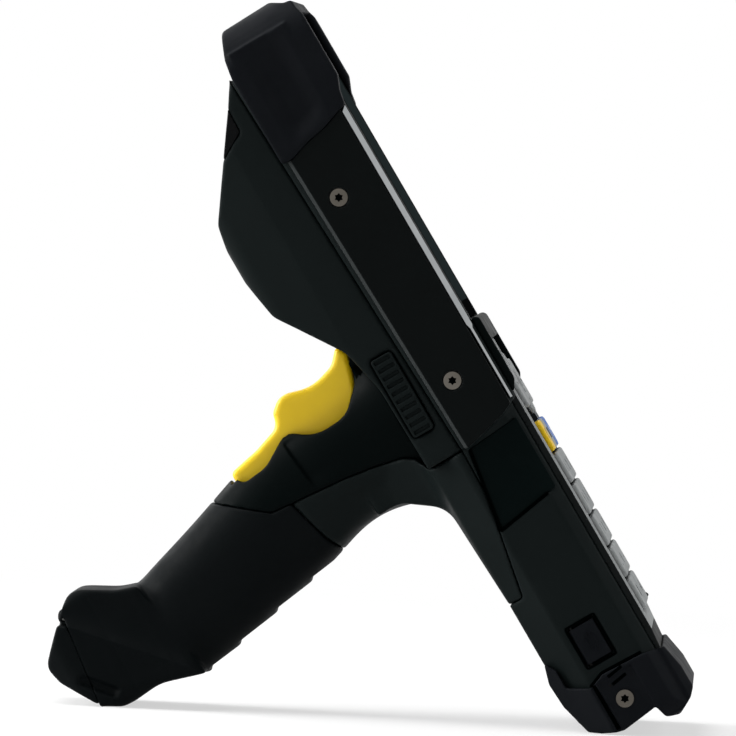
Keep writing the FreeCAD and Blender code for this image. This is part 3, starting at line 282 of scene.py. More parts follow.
@dataclass(frozen=True)
class PlateFinish(Finish):
    """Black plate whose face is light grey between two depths."""

    face_shade: tuple[int, int, int] = (150, 153, 153)
    face_low: float = 31.45
    face_high: float = 32.25

    def _colour(self, tree: bpy.types.NodeTree, colour: bpy.types.NodeSocket,
                shader: bpy.types.Node) -> None:
        """Mixes the face's shade in at its depth."""
        place = tree.nodes.new("ShaderNodeTexCoord").outputs["Object"]
        origin = BODY.place(0.0, 0.0, 0.0).dot(BODY.depth_axis)
        depth = dot(tree, place, BODY.depth_axis)
        above = math_node(tree, "GREATER_THAN", depth, origin + self.face_low * MM)
        below = math_node(tree, "LESS_THAN", depth, origin + self.face_high * MM)
        lay_over(tree, colour, self.face_shade, math_node(tree, "MULTIPLY", above, below), shader)


def noise(tree: bpy.types.NodeTree, vector: bpy.types.NodeSocket, scale: float,
          detail: float) -> bpy.types.NodeSocket:
    """Adds a noise texture.

    Args:
        tree: Node tree that it goes in.
        vector: Where it is read.
        scale: Cells per metre.
        detail: How many octaves it has.

    Returns:
        The noise's value.
    """
    node = tree.nodes.new("ShaderNodeTexNoise")
    node.inputs["Scale"].default_value = scale
    node.inputs["Detail"].default_value = detail
    node.inputs["Roughness"].default_value = 0.6
    tree.links.new(vector, node.inputs["Vector"])
    return node.outputs[0]


def spread(tree: bpy.types.NodeTree, value: bpy.types.NodeSocket, target: bpy.types.NodeSocket,
           low: float, high: float, to_low: float, to_high: float) -> None:
    """Sends a value to a socket, spread from one range to another.

    Args:
        tree: Node tree that holds both.
        value: The value.
        target: Socket that takes it.
        low: Value that becomes to_low.
        high: Value that becomes to_high.
        to_low: Lower end sent on.
        to_high: Upper end sent on.
    """
    node = tree.nodes.new("ShaderNodeMapRange")
    node.inputs["From Min"].default_value = low
    node.inputs["From Max"].default_value = high
    node.inputs["To Min"].default_value = to_low
    node.inputs["To Max"].default_value = to_high
    tree.links.new(value, node.inputs["Value"])
    tree.links.new(node.outputs[0], target)


def lay_over(tree: bpy.types.NodeTree, colour: bpy.types.NodeSocket, shade: Sequence[float],
             share: bpy.types.NodeSocket, shader: bpy.types.Node) -> None:
    """Colours a shader, with a shade laid over the colour by its share.

    Args:
        tree: Node tree that holds them.
        colour: The colour beneath.
        shade: Red, green and blue from 0 to 255.
        share: How much of the shade shows, from 0 to 1.
        shader: Shader that takes the mixture.
    """
    mix = tree.nodes.new("ShaderNodeMix")
    mix.data_type = "RGBA"
    mix.inputs[7].default_value = linear(shade)
    tree.links.new(share, mix.inputs[0])
    tree.links.new(colour, mix.inputs[6])
    tree.links.new(mix.outputs[2], shader.inputs["Base Color"])


def dot(tree: bpy.types.NodeTree, vector: bpy.types.NodeSocket, way: Vector) -> bpy.types.NodeSocket:
    """How far a vector reaches along a direction."""
    node = tree.nodes.new("ShaderNodeVectorMath")
    node.operation = "DOT_PRODUCT"
    node.inputs[1].default_value = way
    tree.links.new(vector, node.inputs[0])
    return node.outputs["Value"]


def math_node(tree: bpy.types.NodeTree, operation: str, first: bpy.types.NodeSocket,
              second: "bpy.types.NodeSocket | float") -> bpy.types.NodeSocket:
    """Adds a math node.

    Args:
        tree: Node tree that it goes in.
        operation: Blender's name for the sum.
        first: First value.
        second: Second value, a socket or a number.

    Returns:
        The result.
    """
    node = tree.nodes.new("ShaderNodeMath")
    node.operation = operation
    tree.links.new(first, node.inputs[0])
    if isinstance(second, float):
        node.inputs[1].default_value = second
    else:
        tree.links.new(second, node.inputs[1])
    return node.outputs[0]


BODY_PLASTIC = Finish("Moulded black casing", "body_plastic", (16, 21, 21), (18, 23, 23), 0.46)
# Painted highlight: the plates' bevels are lighter, as where the side lamp catches them.
PLATE_PLASTIC = BevelHighlightFinish("Side plate black", "body_plastic", (8, 11, 11), (10, 13, 13), 0.42,
                            grain_size=0.25)
DARK_PANEL = Finish("Waist panel black", "dark_panel", (4, 10, 10), (7, 14, 14), 0.55, specular=0.02)
BOOT_RUBBER = Finish("Bumper rubber", "boot_rubber", (14, 16, 19), (17, 19, 22), 0.56, Grain.RUBBER,
                     grain_size=0.5, grain_depth=0.02)
GRIP_RUBBER = Finish("Grip rubber", "grip_rubber", (6, 9, 10), (9, 12, 13), 0.52, Grain.RUBBER,
                     grain_size=0.3, grain_depth=0.02, specular=0.03)
# Painted shade: a darker copy of the casing black, for the handle's front shell, the trigger cheeks and
# the keypad collar, where shade falls.
SHADED_SHELL_BLACK = Finish("Trigger shell black with painted shade", "body_plastic", (3, 7, 7), (5, 9, 9), 0.46, specular=0.02)
# Painted shade: a near-black, unreflecting finish for strips, stars, sheets and ribs laid where shade
# falls in gaps, recesses and pockets.
PAINTED_SHADE_BLACK = Finish("Painted shadow black", "body_plastic", (1, 2, 2), (2, 3, 3), 0.8, specular=0.0)
TRIM_METAL = Finish("Satin silver trim", "trim_metal", (112, 114, 115), (102, 105, 106), 0.34,
                    Grain.BRUSHED,
                    grain_size=0.12, grain_depth=0.004, metallic=1.0, specular=0.5)
BLACK_STEEL = Finish("Blackened pin", "pin_steel", (10, 11, 11), (16, 16, 16), 0.6, specular=0.1)
SCREW_STEEL = Finish("Nickel screw", "screw_steel", (97, 93, 87), (74, 70, 64), 0.3, Grain.BRUSHED,
                     grain_size=0.2, grain_depth=0.004, metallic=1.0, specular=0.5)
PIN_STEEL = Finish("Plain steel pin", "pin_steel", (92, 92, 90), (70, 70, 68), 0.4, Grain.BRUSHED,
                   metallic=1.0, specular=0.5)
KEY_GREY = Finish("Light grey keypad", "key_grey", (150, 153, 153), (138, 141, 142), 0.55,
                  grain_depth=0.006)
KEY_YELLOW = Finish("Yellow key", "key_yellow", (226, 188, 40), (216, 176, 32), 0.45, grain_depth=0.006)
KEY_BLUE = Finish("Blue key", "key_blue", (62, 104, 176), (52, 92, 162), 0.45, grain_depth=0.006)
TRIGGER_YELLOW = Finish("Trigger yellow", "trigger_yellow", (232, 196, 8), (224, 186, 4), 0.4,
                        grain_depth=0.008, specular=0.4)
GLASS_BLACK = Finish("Scan window black", "glass_black", (5, 6, 7), (7, 8, 9), 0.2, Grain.SMOOTH,
                     grain_size=4.0, grain_depth=0.002, specular=0.05)
SCREEN_GLASS = ScreenFinish("Display glass", "glass_black", (9, 10, 11), (11, 12, 13), 0.16,
                            Grain.SMOOTH,
                            grain_size=5.0, grain_depth=0.002, specular=0.0)
INNER_PLASTIC = Finish("Inner plastic", "inner_plastic", (74, 75, 74), (64, 65, 64), 0.5)
MEMBRANE = Finish("Silicone membrane", "membrane_rubber", (148, 148, 146), (138, 138, 136), 0.6,
                  Grain.RUBBER)
BOARD_GREEN = Finish("Circuit board", "board_green", (32, 92, 56), (26, 78, 48), 0.4, grain_size=0.8)
PORT_METAL = Finish("Plated connector", "port_metal", (176, 176, 172), (160, 160, 156), 0.3,
                    Grain.BRUSHED,
                    metallic=1.0, specular=0.5)
KEYPAD_PLATE = PlateFinish("Keypad plate", "key_grey", (12, 15, 15), (16, 19, 19), 0.55,
                           grain_depth=0.006)
LEGEND_DARK = Finish("Dark key legend", "body_plastic", (34, 38, 40), (42, 46, 48), 0.5,
                     grain_depth=0.004)
LEGEND_PALE = Finish("Pale key legend", "key_grey", (222, 224, 224), (212, 214, 214), 0.5,
                     grain_depth=0.004)

SLOT_FINISHES = {
    finish.slot: finish
    for finish in (BODY_PLASTIC, DARK_PANEL, BOOT_RUBBER, GRIP_RUBBER, TRIM_METAL, SCREW_STEEL,
                   PIN_STEEL,
                   KEY_GREY, KEY_YELLOW, KEY_BLUE, TRIGGER_YELLOW, GLASS_BLACK, INNER_PLASTIC, MEMBRANE,
                   BOARD_GREEN, PORT_METAL)
}


def paint(piece: bpy.types.Object, finish: Finish) -> None:
    """Gives a piece a finish over its whole surface."""
    piece.data.materials.clear()
    piece.data.materials.append(finish.material())


def ramp(value: np.ndarray, low: float, high: float) -> np.ndarray:
    """Smooth step from 0 at low to 1 at high, for low above or below high."""
    share = np.clip((value - low) / (high - low), 0.0, 1.0)
    return share * share * (3.0 - 2.0 * share)


def window(value: np.ndarray, low: float, high: float, edge: float) -> np.ndarray:
    """1 between low and high, falling to 0 over an edge inside them.

    Args:
        value: Values to weigh.
        low: Where the window starts.
        high: Where it ends.
        edge: Width of each edge.

    Returns:
        The weight of each value.
    """
    return ramp(value, low, low + edge) * ramp(value, high, high - edge)


@dataclass
class Moulding:
    """A visible part with the softened edges of a moulded one, made from its solid."""

    node: str
    finish: Finish
    voxel: float = 0.5
    rounds: int = 4
    keep: float = 0.3
    slot: Optional[str] = None
    mover: Optional[Mover] = None
    ease: Optional[Mover] = None
    joined: Sequence[str] = ()
    reach: Optional[Mover] = None

    def build(self) -> bpy.types.Object:
        """Makes the part and puts it in its solid's place.

        Returns:
            The new piece, riding on the solid's body.
        """
        source = frame["nodes"][self.node]
        mesh = self._through(self._gather(), self._even)
        self._shape(mesh)
        mesh = self._through(mesh, self._thin)
        mesh.name = self.node + "_moulded"
        piece = bpy.data.objects.new(self.node + "_moulded", mesh)
        bpy.context.scene.collection.objects.link(piece)
        paint(piece, self.finish)
        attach(piece, source["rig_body"])
        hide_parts(self.node, *self.joined)
        log.info("%s: %d faces", piece.name, len(mesh.polygons))
        return piece

    def _gather(self) -> bpy.types.Mesh:
        """Copies the solid's mesh, with those of the solids moulded in one with it.

        Returns:
            A mesh with its doubled points joined.
        """
        mesh = frame["nodes"][self.node].data.copy()
        if self.reach:
            self._each_point(mesh, self.reach)
        work = bmesh.new()
        work.from_mesh(mesh)
        for node in self.joined:
            work.from_mesh(frame["nodes"][node].data)
        bmesh.ops.remove_doubles(work, verts=work.verts, dist=0.002 * MM)
        work.to_mesh(mesh)
        work.free()
        return mesh

    def _through(self, mesh: bpy.types.Mesh, add: Callable[[bpy.types.Object], None]) -> bpy.types.Mesh:
        """Runs a mesh through modifiers.

        Args:
            mesh: Mesh to start from.
            add: Adds the modifiers to an object that holds it.

        Returns:
            A new mesh with the modifiers applied.
        """
        holder = bpy.data.objects.new("holder", mesh)
        bpy.context.scene.collection.objects.link(holder)
        add(holder)
        graph = bpy.context.evaluated_depsgraph_get()
        graph.update()
        result = bpy.data.meshes.new_from_object(holder.evaluated_get(graph))
        bpy.data.objects.remove(holder)
        bpy.data.meshes.remove(mesh)
        return result

    def _even(self, holder: bpy.types.Object) -> None:
        """Rebuilds the surface from even small faces."""
        remesh = holder.modifiers.new("even", "REMESH")
        remesh.mode = "VOXEL"
        remesh.voxel_size = self.voxel * MM
        remesh.use_smooth_shade = True

    def _shape(self, mesh: bpy.types.Mesh) -> None:
        """Eases the edges, then moves the points as the mover says."""
        edges = np.empty(len(mesh.edges) * 2, np.int32)
        mesh.edges.foreach_get("vertices", edges)
        self._each_point(mesh, lambda points: self._eased(points, edges.reshape(-1, 2)))
        if self.mover:
            self._each_point(mesh, self.mover)

    def _each_point(self, mesh: bpy.types.Mesh, change: Mover) -> None:
        """Puts a mesh's points through a mover that works in the body's millimetres.

        Args:
            mesh: Mesh to change.
            change: Gives the points' new places.
        """
        count = len(mesh.vertices)
        points = np.empty(count * 3, np.float32)
        mesh.vertices.foreach_get("co", points)
        points = points.reshape(count, 3).astype(float)
        into = np.array(TO_BODY)
        local = change(points @ into[:3, :3].T + into[:3, 3])
        back = np.array(TO_ROW)
        points = local @ back[:3, :3].T + back[:3, 3]
        mesh.vertices.foreach_set("co", points.astype(np.float32).ravel())
        mesh.update()

    def _eased(self, points: np.ndarray, edges: np.ndarray) -> np.ndarray:
        """Draws each point towards its neighbours' middle, once for each round.

        Args:
            points: Places of the points.
            edges: Pairs of points that are joined.

        Returns:
            The points' new places.
        """
        count = len(points)
        first = np.concatenate((edges[:, 0], edges[:, 1]))
        second = np.concatenate((edges[:, 1], edges[:, 0]))
        joined = np.maximum(np.bincount(first, minlength=count), 1)[:, None]
        weight = 0.5 * (self.ease(points) if self.ease else np.ones(count))[:, None]
        for _ in range(self.rounds):
            sums = [np.bincount(first, points[second, axis], minlength=count) for axis in range(3)]
            points = points + weight * (np.stack(sums, axis=1) / joined - points)
        return points

    def _thin(self, holder: bpy.types.Object) -> None:
        """Takes points off the flats and lets the flats rule the shading."""
        thin = holder.modifiers.new("thin", "DECIMATE")
        thin.ratio = self.keep
        normals = holder.modifiers.new("flats", "WEIGHTED_NORMAL")
        normals.mode = "FACE_AREA"
        normals.weight = 50


def add_mesh(name: str, work: bmesh.types.BMesh, body: str, finish: Finish, bevel: float = 0.0,
             replaces: Sequence[str] = ()) -> bpy.types.Object:
    """Turns a mesh in the body's millimetres into a piece that rides on a body.

    Args:
        name: Name of the piece.
        work: The mesh, freed here.
        body: Body that it rides on.
        finish: Its finish.
        bevel: Width that its sharp edges are broken by, in millimetres.
        replaces: Solids that it stands for.

    Returns:
        The new piece.
    """
    if bevel > 0.0:
        sharp = [e for e in work.edges if len(e.link_faces) == 2 and e.calc_face_angle(0.0) > 0.5]
        bmesh.ops.bevel(work, geom=sharp, offset=bevel, segments=2, affect="EDGES", profile=0.6,
                        clamp_overlap=True)
    bmesh.ops.recalc_face_normals(work, faces=work.faces)
    mesh = bpy.data.meshes.new(name)
    work.to_mesh(mesh)
    work.free()
    mesh.transform(TO_ROW)
    mesh.shade_smooth()
    mesh.set_sharp_from_angle(angle=math.radians(SHARP_ANGLE))
    piece = bpy.data.objects.new(name, mesh)
    bpy.context.scene.collection.objects.link(piece)
    paint(piece, finish)
    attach(piece, body)
    if replaces:
        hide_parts(*replaces)
    log.info("%s on %s", name, body)
    return piece


def side_bar(work: bmesh.types.BMesh, corners: Sequence[Corner], low: float, high: float) -> None:
    """Adds a prism with a (depth, level) outline between two widths.

    Args:
        work: Mesh that it is added to.
        corners: Its outline.
        low: Width that it starts at.
        high: Width that it ends at.
    """
    near = [work.verts.new((depth, low, level)) for depth, level in corners]
    far = [work.verts.new((depth, high, level)) for depth, level in corners]
    close_prism(work, near, far)


def front_bar(work: bmesh.types.BMesh, corners: Sequence[Corner], low: float, high: float) -> None:
    """Adds a prism with an (across, level) outline between two depths.

    Args:
        work: Mesh that it is added to.
        corners: Its outline.
        low: Depth that it starts at.
        high: Depth that it ends at.
    """
    near = [work.verts.new((low, across, level)) for across, level in corners]
    far = [work.verts.new((high, across, level)) for across, level in corners]
    close_prism(work, near, far)


def close_prism(work: bmesh.types.BMesh, near: Sequence[bmesh.types.BMVert],
                far: Sequence[bmesh.types.BMVert]) -> None:
    """Closes the ends and sides of a prism."""
    work.faces.new(near)
    work.faces.new(list(reversed(far)))
    count = len(near)
    for index in range(count):
        after = (index + 1) % count
        work.faces.new((near[index], far[index], far[after], near[after]))


def stroke(start: Corner, end: Corner, width: float) -> list[Corner]:
    """Outline of a straight stroke of a symbol.

    Args:
        start: Where it starts.
        end: Where it ends.
        width: Its width.

    Returns:
        Its four corners.
    """
    run = Vector(end) - Vector(start)
    aside = Vector((-run.y, run.x)).normalized() * (width / 2.0)
    first, last = Vector(start), Vector(end)
    return [tuple(first + aside), tuple(first - aside), tuple(last - aside), tuple(last + aside)]


def ring_strokes(centre: Corner, radius: float, width: float, start: float = 0.0,
                 turn: float = 360.0) -> list[list[Corner]]:
    """Short strokes that make a ring or an arc.

    Args:
        centre: Its middle.
        radius: Its radius.
        width: Width of its line.
        start: Angle in degrees that it starts at.
        turn: Degrees that it goes round.

    Returns:
        The outline of each stroke.
    """
    steps = max(6, int(turn / 15.0))
    angles = [math.radians(start + turn * step / steps) for step in range(steps + 1)]
    points = [(centre[0] + radius * math.cos(a), centre[1] + radius * math.sin(a)) for a in angles]
    return [stroke(points[i], points[i + 1], width) for i in range(steps)]


def star(depth: float, level: float, radius: float) -> list[Corner]:
    """Outline of a screw's six-lobed recess."""
    spots = [(radius if step % 2 == 0 else radius * 0.68, math.pi * step / 6.0) for step in range(12)]
    return [(depth + reach * math.cos(angle), level + reach * math.sin(angle)) for reach,
            angle in spots]


def gap_shade_line(name: str, body: str, line: Sequence[Corner], width: float, face: float,
             sides: Sequence[float] = (-1.0, 1.0)) -> bpy.types.Object:
    """Lays painted shadow along a gap line, on both sides of the body.

    Args:
        name: Name of the piece.
        body: Body that it rides on.
        line: Corners (depth, level) that it follows.
        width: Its width.
        face: How far out the surface lies.
        sides: Which sides it lies on.

    Returns:
        The new piece.
    """
    work = bmesh.new()
    for side in sides:
        for start, end in zip(line, line[1:]):
            low, high = sorted((side * (face - GAP_SUNK), side * (face + GAP_PROUD)))
            side_bar(work, stroke(start, end, width), low, high)
        for corner in line[1:-1]:
            low, high = sorted((side * (face - GAP_SUNK), side * (face + CORNER_PROUD)))
            side_bar(work, star(corner[0], corner[1], width / 2.0), low, high)
    return add_mesh(name, work, body, PAINTED_SHADE_BLACK)


@dataclass
class Keypad:
    """Keypad plate, the collar above it and the keys with their legends."""

    pitch: float = 18.4
    row: float = 10.2
    colour_level: float = 86.3
    pad_level: float = 103.0
    face: float = 33.2
    legend_height: float = 3.6
    line: float = 0.55
    relief: float = 0.03
    tray: float = 30.1
    tray_half: float = 28.7
    tray_low: float = 29.9
    tray_high: float = 113.4
    skirt: float = 31.6
    spare_across: float = 1.15
    spare_level: float = 1.2

    def build(self) -> None:
        """Builds the plate, the collar, and every key with its legend."""
        Moulding("keypad_bezel", KEYPAD_PLATE, voxel=0.36, rounds=2, keep=0.2, slot="key_grey",
                 mover=self._sink).build()
        Moulding("keypad_collar", SHADED_SHELL_BLACK, voxel=0.36, rounds=3).build()
        for node in [name for name in frame["nodes"] if self._is_key(name)]:
            finish = {"yellow_shift_key": KEY_YELLOW, "blue_shift_key": KEY_BLUE}.get(node, KEY_GREY)
            Moulding(node, finish, voxel=0.3, rounds=2, keep=0.3, mover=self._spread).build()
        names = ["1", "2", "3", "4", "5", "6", "7", "8", "9", "dot", "0", "dash"]
        for index, name in enumerate(names):
            centre = (self.pitch * (index % 3 - 1), self.colour_level - self.row * (index // 3 + 1))
            self._digit(name, centre)
        last = self.colour_level - 5 * self.row
        self._symbol("power_key", self._power((-14.1, last)))
        self._symbol("enter_key", self._enter((14.1, last)))
        self._symbol("scan_key", self._bars((0.0, self.colour_level)))
        self._symbol("select_pad", self._arrows((0.0, self.pad_level)))
        self._symbol("left_soft_key", [stroke((-20.2, self.pad_level), (-16.6, self.pad_level), 0.8)])
        self._symbol("right_soft_key", [stroke((16.6, self.pad_level), (20.2, self.pad_level), 0.8)])
        self._symbol("yellow_shift_key", self._up((-self.pitch, self.colour_level)))
        self._symbol("blue_shift_key", self._up((self.pitch, self.colour_level)), LEGEND_PALE)

    def _is_key(self, name: str) -> bool:
        """Whether a solid is one of the keys."""
        return name.startswith("key_") or name.endswith("_key") or name == "select_pad"

    def _sink(self, points: np.ndarray) -> np.ndarray:
        """Sinks the plate's face between the keys, beside the fin on its edge."""
        depth, across, level = points.T
        half = np.where((across > 0.0) & (level < 37.5), 27.5, self.tray_half)
        inside = (np.abs(across) < half) & (level > self.tray_low) & (level < self.tray_high)
        points[:, 0] = np.where(inside, np.minimum(depth, self.tray), depth)
        return points

    def _spread(self, points: np.ndarray) -> np.ndarray:
        """Widens a key above the plate, so that it nearly meets its neighbours."""
        cap = points[points[:, 0] > self.skirt]
        share = ramp(points[:, 0], self.skirt - 0.1, self.skirt + 0.1)
        for axis, spare in ((1, self.spare_across), (2, self.spare_level)):
            low, high = cap[:, axis].min(), cap[:, axis].max()
            middle = (low + high) / 2.0
            grown = (points[:, axis] - middle) * (1.0 + 2.0 * spare / (high - low)) + middle
            points[:, axis] = points[:, axis] * (1.0 - share) + grown * share
        return points

    def _symbol(self, key: str, shapes: Sequence[Sequence[Corner]],
                finish: Finish = LEGEND_DARK) -> None:
        """Prints a symbol on a key.

        Args:
            key: The key's name.
            shapes: Outline of each part of the symbol.
            finish: Finish of the print.
        """
        work = bmesh.new()
        for shape in shapes:
            front_bar(work, shape, self.face - self.relief, self.face + self.relief)
        add_mesh(key + "_legend", work, key + "_body", finish)

    def _digit(self, name: str, centre: Corner) -> None:
        """Prints a number, a dot or a dash on its key.

        Args:
            name: What the key is called by.
            centre: Its middle (across, level).
        """
        text = {"dot": ".", "dash": "-"}.get(name, name)
        curve = bpy.data.curves.new("key_" + name + "_print", "FONT")
        curve.body = text
        curve.size = self.legend_height * 1.35
        curve.align_x = "CENTER"
        curve.extrude = self.relief
        curve.offset = 0.05
        curve.resolution_u = 4
        holder = bpy.data.objects.new("holder", curve)
        bpy.context.scene.collection.objects.link(holder)
        graph = bpy.context.evaluated_depsgraph_get()
        graph.update()
        mesh = bpy.data.meshes.new_from_object(holder.evaluated_get(graph))
        bpy.data.objects.remove(holder)
        turn = Matrix(((0.0, 0.0, 1.0), (1.0, 0.0, 0.0), (0.0, 1.0, 0.0))).to_4x4()
        shift = Vector((self.face, centre[0], centre[1] - self.legend_height / 2.0))
        mesh.transform(Matrix.Translation(shift) @ turn)
        work = bmesh.new()
        work.from_mesh(mesh)
        bmesh.ops.remove_doubles(work, verts=work.verts, dist=0.001)
        bpy.data.meshes.remove(mesh)
        add_mesh("key_" + name + "_legend", work, "key_" + name + "_body", LEGEND_DARK)

    def _power(self, at: Corner) -> list[list[Corner]]:
        """A broken ring with a bar in its gap."""
        across, level = at
        ring = ring_strokes(at, 1.7, self.line, 125.0, 290.0)
        return ring + [stroke((across, level + 0.2), (across, level + 2.2), self.line)]

    def _enter(self, at: Corner) -> list[list[Corner]]:
        """An arrow that turns back to the left."""
        across, level = at
        corner = (across + 2.6, level - 0.6)
        tip = (across - 2.8, level - 0.6)
        head = [tip, (across - 1.2, level - 1.7), (across - 1.2, level + 0.5)]
        return [stroke((across + 2.6, level + 1.7), corner, self.line), stroke(corner, tip,
                                                                               self.line), head]

    def _bars(self, at: Corner) -> list[list[Corner]]:
        """Upright bars of a scan symbol."""
        across, level = at
        bars = ((-3.2, 0.5), (-2.2, 0.9), (-1.0, 0.4), (0.0, 0.9), (1.2, 0.4), (2.2, 0.6), (3.2, 0.9))
        return [stroke((across + x, level - 1.6), (across + x, level + 1.6), width) for x,
                width in bars]

    def _arrows(self, at: Corner) -> list[list[Corner]]:
        """Four arrow heads round a ring."""
        across, level = at
        heads = []
        for quarter in range(4):
            angle = math.pi / 2.0 * quarter
            out = Vector((math.cos(angle), math.sin(angle)))
            aside = Vector((-out.y, out.x))
            middle = Vector((across, level))
            heads.append([tuple(middle + out * 6.9), tuple(middle + out * 5.4 + aside * 1.3),
                          tuple(middle + out * 5.4 - aside * 1.3)])
        return heads + ring_strokes(at, 3.3, 0.45)

    def _up(self, at: Corner) -> list[list[Corner]]:
        """An arrow that points up."""
        across, level = at
        head = [(across, level + 2.1), (across - 1.8, level + 0.3), (across + 1.8, level + 0.3)]
        return [head, stroke((across, level + 0.4), (across, level - 1.9), 1.1)]


@dataclass
class DisplaySection:
    """Main housing with the display, its side plates and the bright trim."""

    housing_side: float = 37.2
    trim_back: float = 29.7
    trim_thin_back: float = 30.1
    trim_thin_front: float = 30.7
    trim_front: float = 31.1
    trim_low: float = 100.8
    trim_step: float = 124.5
    trim_high: float = 193.4

    def build(self) -> None:
        """Builds the housing, plates, trims, waist panels and glass."""
        Moulding("main_housing", BODY_PLASTIC, voxel=0.6, rounds=2, keep=0.22).build()
        for side in ("left", "right"):
            Moulding("side_plate_" + side, PLATE_PLASTIC, voxel=0.3, rounds=2, keep=0.15,
                     mover=self._draw_in).build()
            Moulding("waist_panel_" + side, DARK_PANEL, voxel=0.2, rounds=2, keep=0.2).build()
            self._trim(side, 1.0 if side == "left" else -1.0)
        Moulding("display_glass", SCREEN_GLASS, voxel=0.3, rounds=1, keep=0.12).build()
        self._recesses()
        # Painted shadow along the waist panel's border and the side plates' back seam.
        panel = [(12.7, 94.1), (9.0, 69.7), (25.6, 72.4)]
        gap_shade_line("waist_panel_gap_shade", "terminal", panel, 0.9, 35.0)
        back = [(8.6, 190.0), (11.1, 94.7)]
        gap_shade_line("plate_back_gap_shade", "terminal", back, 1.1, 36.0)

    def _draw_in(self, points: np.ndarray) -> np.ndarray:
        """Draws a plate's back edge in, which widens the gap behind it."""
        depth, _, level = points.T
        edge = 8.6 + (190.0 - level) * 2.5 / 95.4
        points[:, 0] = depth + 0.55 * ramp(depth - edge, 2.2, 0.5)
        return points

    def _recesses(self) -> None:
        """Darkens the star recess of every screw with painted shade."""
        # Painted shade: near-black stars sunk in the screw heads' recesses.
        work = bmesh.new()
        for depth, level, face in ((16.7, 173.2, 38.9), (18.4, 113.0, 38.9), (15.3, 11.8, 36.9)):
            for side in (-1.0, 1.0):
                low, high = sorted((side * (face - 0.6), side * (face - 0.2)))
                side_bar(work, star(depth, level, 1.28), low, high)
        add_mesh("screw_recess_shade", work, "terminal", PAINTED_SHADE_BLACK)

    def _trim(self, side: str, sign: float) -> None:
        """Builds the bright trim of one side, thin beside the keypad collar.

        Args:
            side: left or right.
            sign: Which way the side lies across.
        """
        stations = [
            (self.trim_thin_back, self.trim_thin_front, self.trim_low, self.trim_low),
            (self.trim_thin_back, self.trim_thin_front, self.trim_step - 1.5, self.trim_step - 1.5),
            (self.trim_back, self.trim_front, self.trim_step, self.trim_step - 0.6),
            (self.trim_back, self.trim_front, self.trim_high, self.trim_high + 1.3),
        ]
        work = bmesh.new()
        rings = []
        for back, front, back_level, front_level in stations:
            rings.append([
                work.verts.new(self._edge(back, 0.0, back_level, sign)),
                work.verts.new(self._edge(back, 1.6, back_level, sign)),
                work.verts.new(self._edge(front, 1.6, front_level, sign)),
                work.verts.new(self._edge(front, 0.0, front_level, sign)),
            ])
        for first, second in zip(rings, rings[1:]):
            for index in range(4):
                after = (index + 1) % 4
                work.faces.new((first[index], second[index], second[after], first[after]))
        work.faces.new(rings[0])
        work.faces.new(list(reversed(rings[-1])))
        add_mesh(f"side_trim_{side}_bar", work, "terminal", TRIM_METAL, 0.15, [f"side_trim_{side}"])

    def _edge(self, depth: float, rise: float, level: float, sign: float) -> Vector:
        """Corner of the trim, a rise above the housing's bevel."""
        across = self.housing_side - (depth - self.trim_back) + rise
        return Vector((depth, sign * across, level))


@dataclass
class Bumpers:
    """Rubber boots round both ends of the body."""

    side: float = 39.8
    scoop_low: float = 12.0
    scoop_high: float = 27.0
    scoop_depth: float = 2.0
    groove_low: float = 8.5
    groove_high: float = 10.5
    groove_depth: float = 1.5
    panel_high: float = 21.6

    def build(self) -> None:
        """Builds both boots."""
        Moulding("top_bumper", BOOT_RUBBER, voxel=0.45, rounds=5, mover=self._scoop).build()
        Moulding("bottom_bumper", BOOT_RUBBER, voxel=0.4, rounds=3, mover=self._groove).build()
        # Painted shadow along the boots' edges, in the bottom boot's groove and in its two slots.
        low_edge = [(8.5, 19.2), (13.2, 21.1), (25.7, 20.7)]
        gap_shade_line("bottom_bumper_gap_shade", "terminal", low_edge, 1.1, 35.0)
        gap_shade_line("top_bumper_gap_shade", "terminal", [(10.2, 190.1), (17.0, 191.7), (22.7, 192.8), (29.2,
                                                                                              194.9)],
                 0.9, 39.0)
        gap_shade_line("bumper_groove_shade", "terminal", [(9.5, 19.2), (9.5, 5.2)], 1.1, 35.5)
        for index, (level, face) in enumerate(((17.4, 35.92), (19.9, 36.82))):
            gap_shade_line(f"bumper_slot_shade_{index + 1}", "terminal", [(14.2, level - 0.5), (19.0, level + 0.3)],
                     0.9, face)

    def _scoop(self, points: np.ndarray) -> np.ndarray:
        """Hollows the sides of the top boot between two soft ridges."""
        depth, across, level = points.T
        reach = np.abs(across)
        hollow = window(depth, self.scoop_low, self.scoop_high, 5.5)
        hollow = hollow * ramp(level - depth * 0.26, 187.4, 193.5) * ramp(level, 228.0, 211.0)
        face = self.side - self.scoop_depth * hollow
        free = window(depth, 9.0, 29.0, 1.5) * window(level, 190.5, 225.5, 2.5) * ramp(reach, 38.2,
                                                                                       38.6)
        points[:, 1] = np.sign(across) * (reach * (1.0 - free) + face * free)
        return points

    def _groove(self, points: np.ndarray) -> np.ndarray:
        """Cuts the upright groove behind the screw's panel and slopes the boot in front of it."""
        depth, across, level = points.T
        groove = window(depth, self.groove_low, self.groove_high, 0.6) * ramp(level, 20.0, 19.0)
        slope = np.clip(depth - self.panel_high, 0.0, None) * 0.12
        outside = ramp(np.abs(across), 33.4, 34.6)
        points[:, 1] = across - np.sign(across) * outside * (groove * self.groove_depth + slope)
        return points


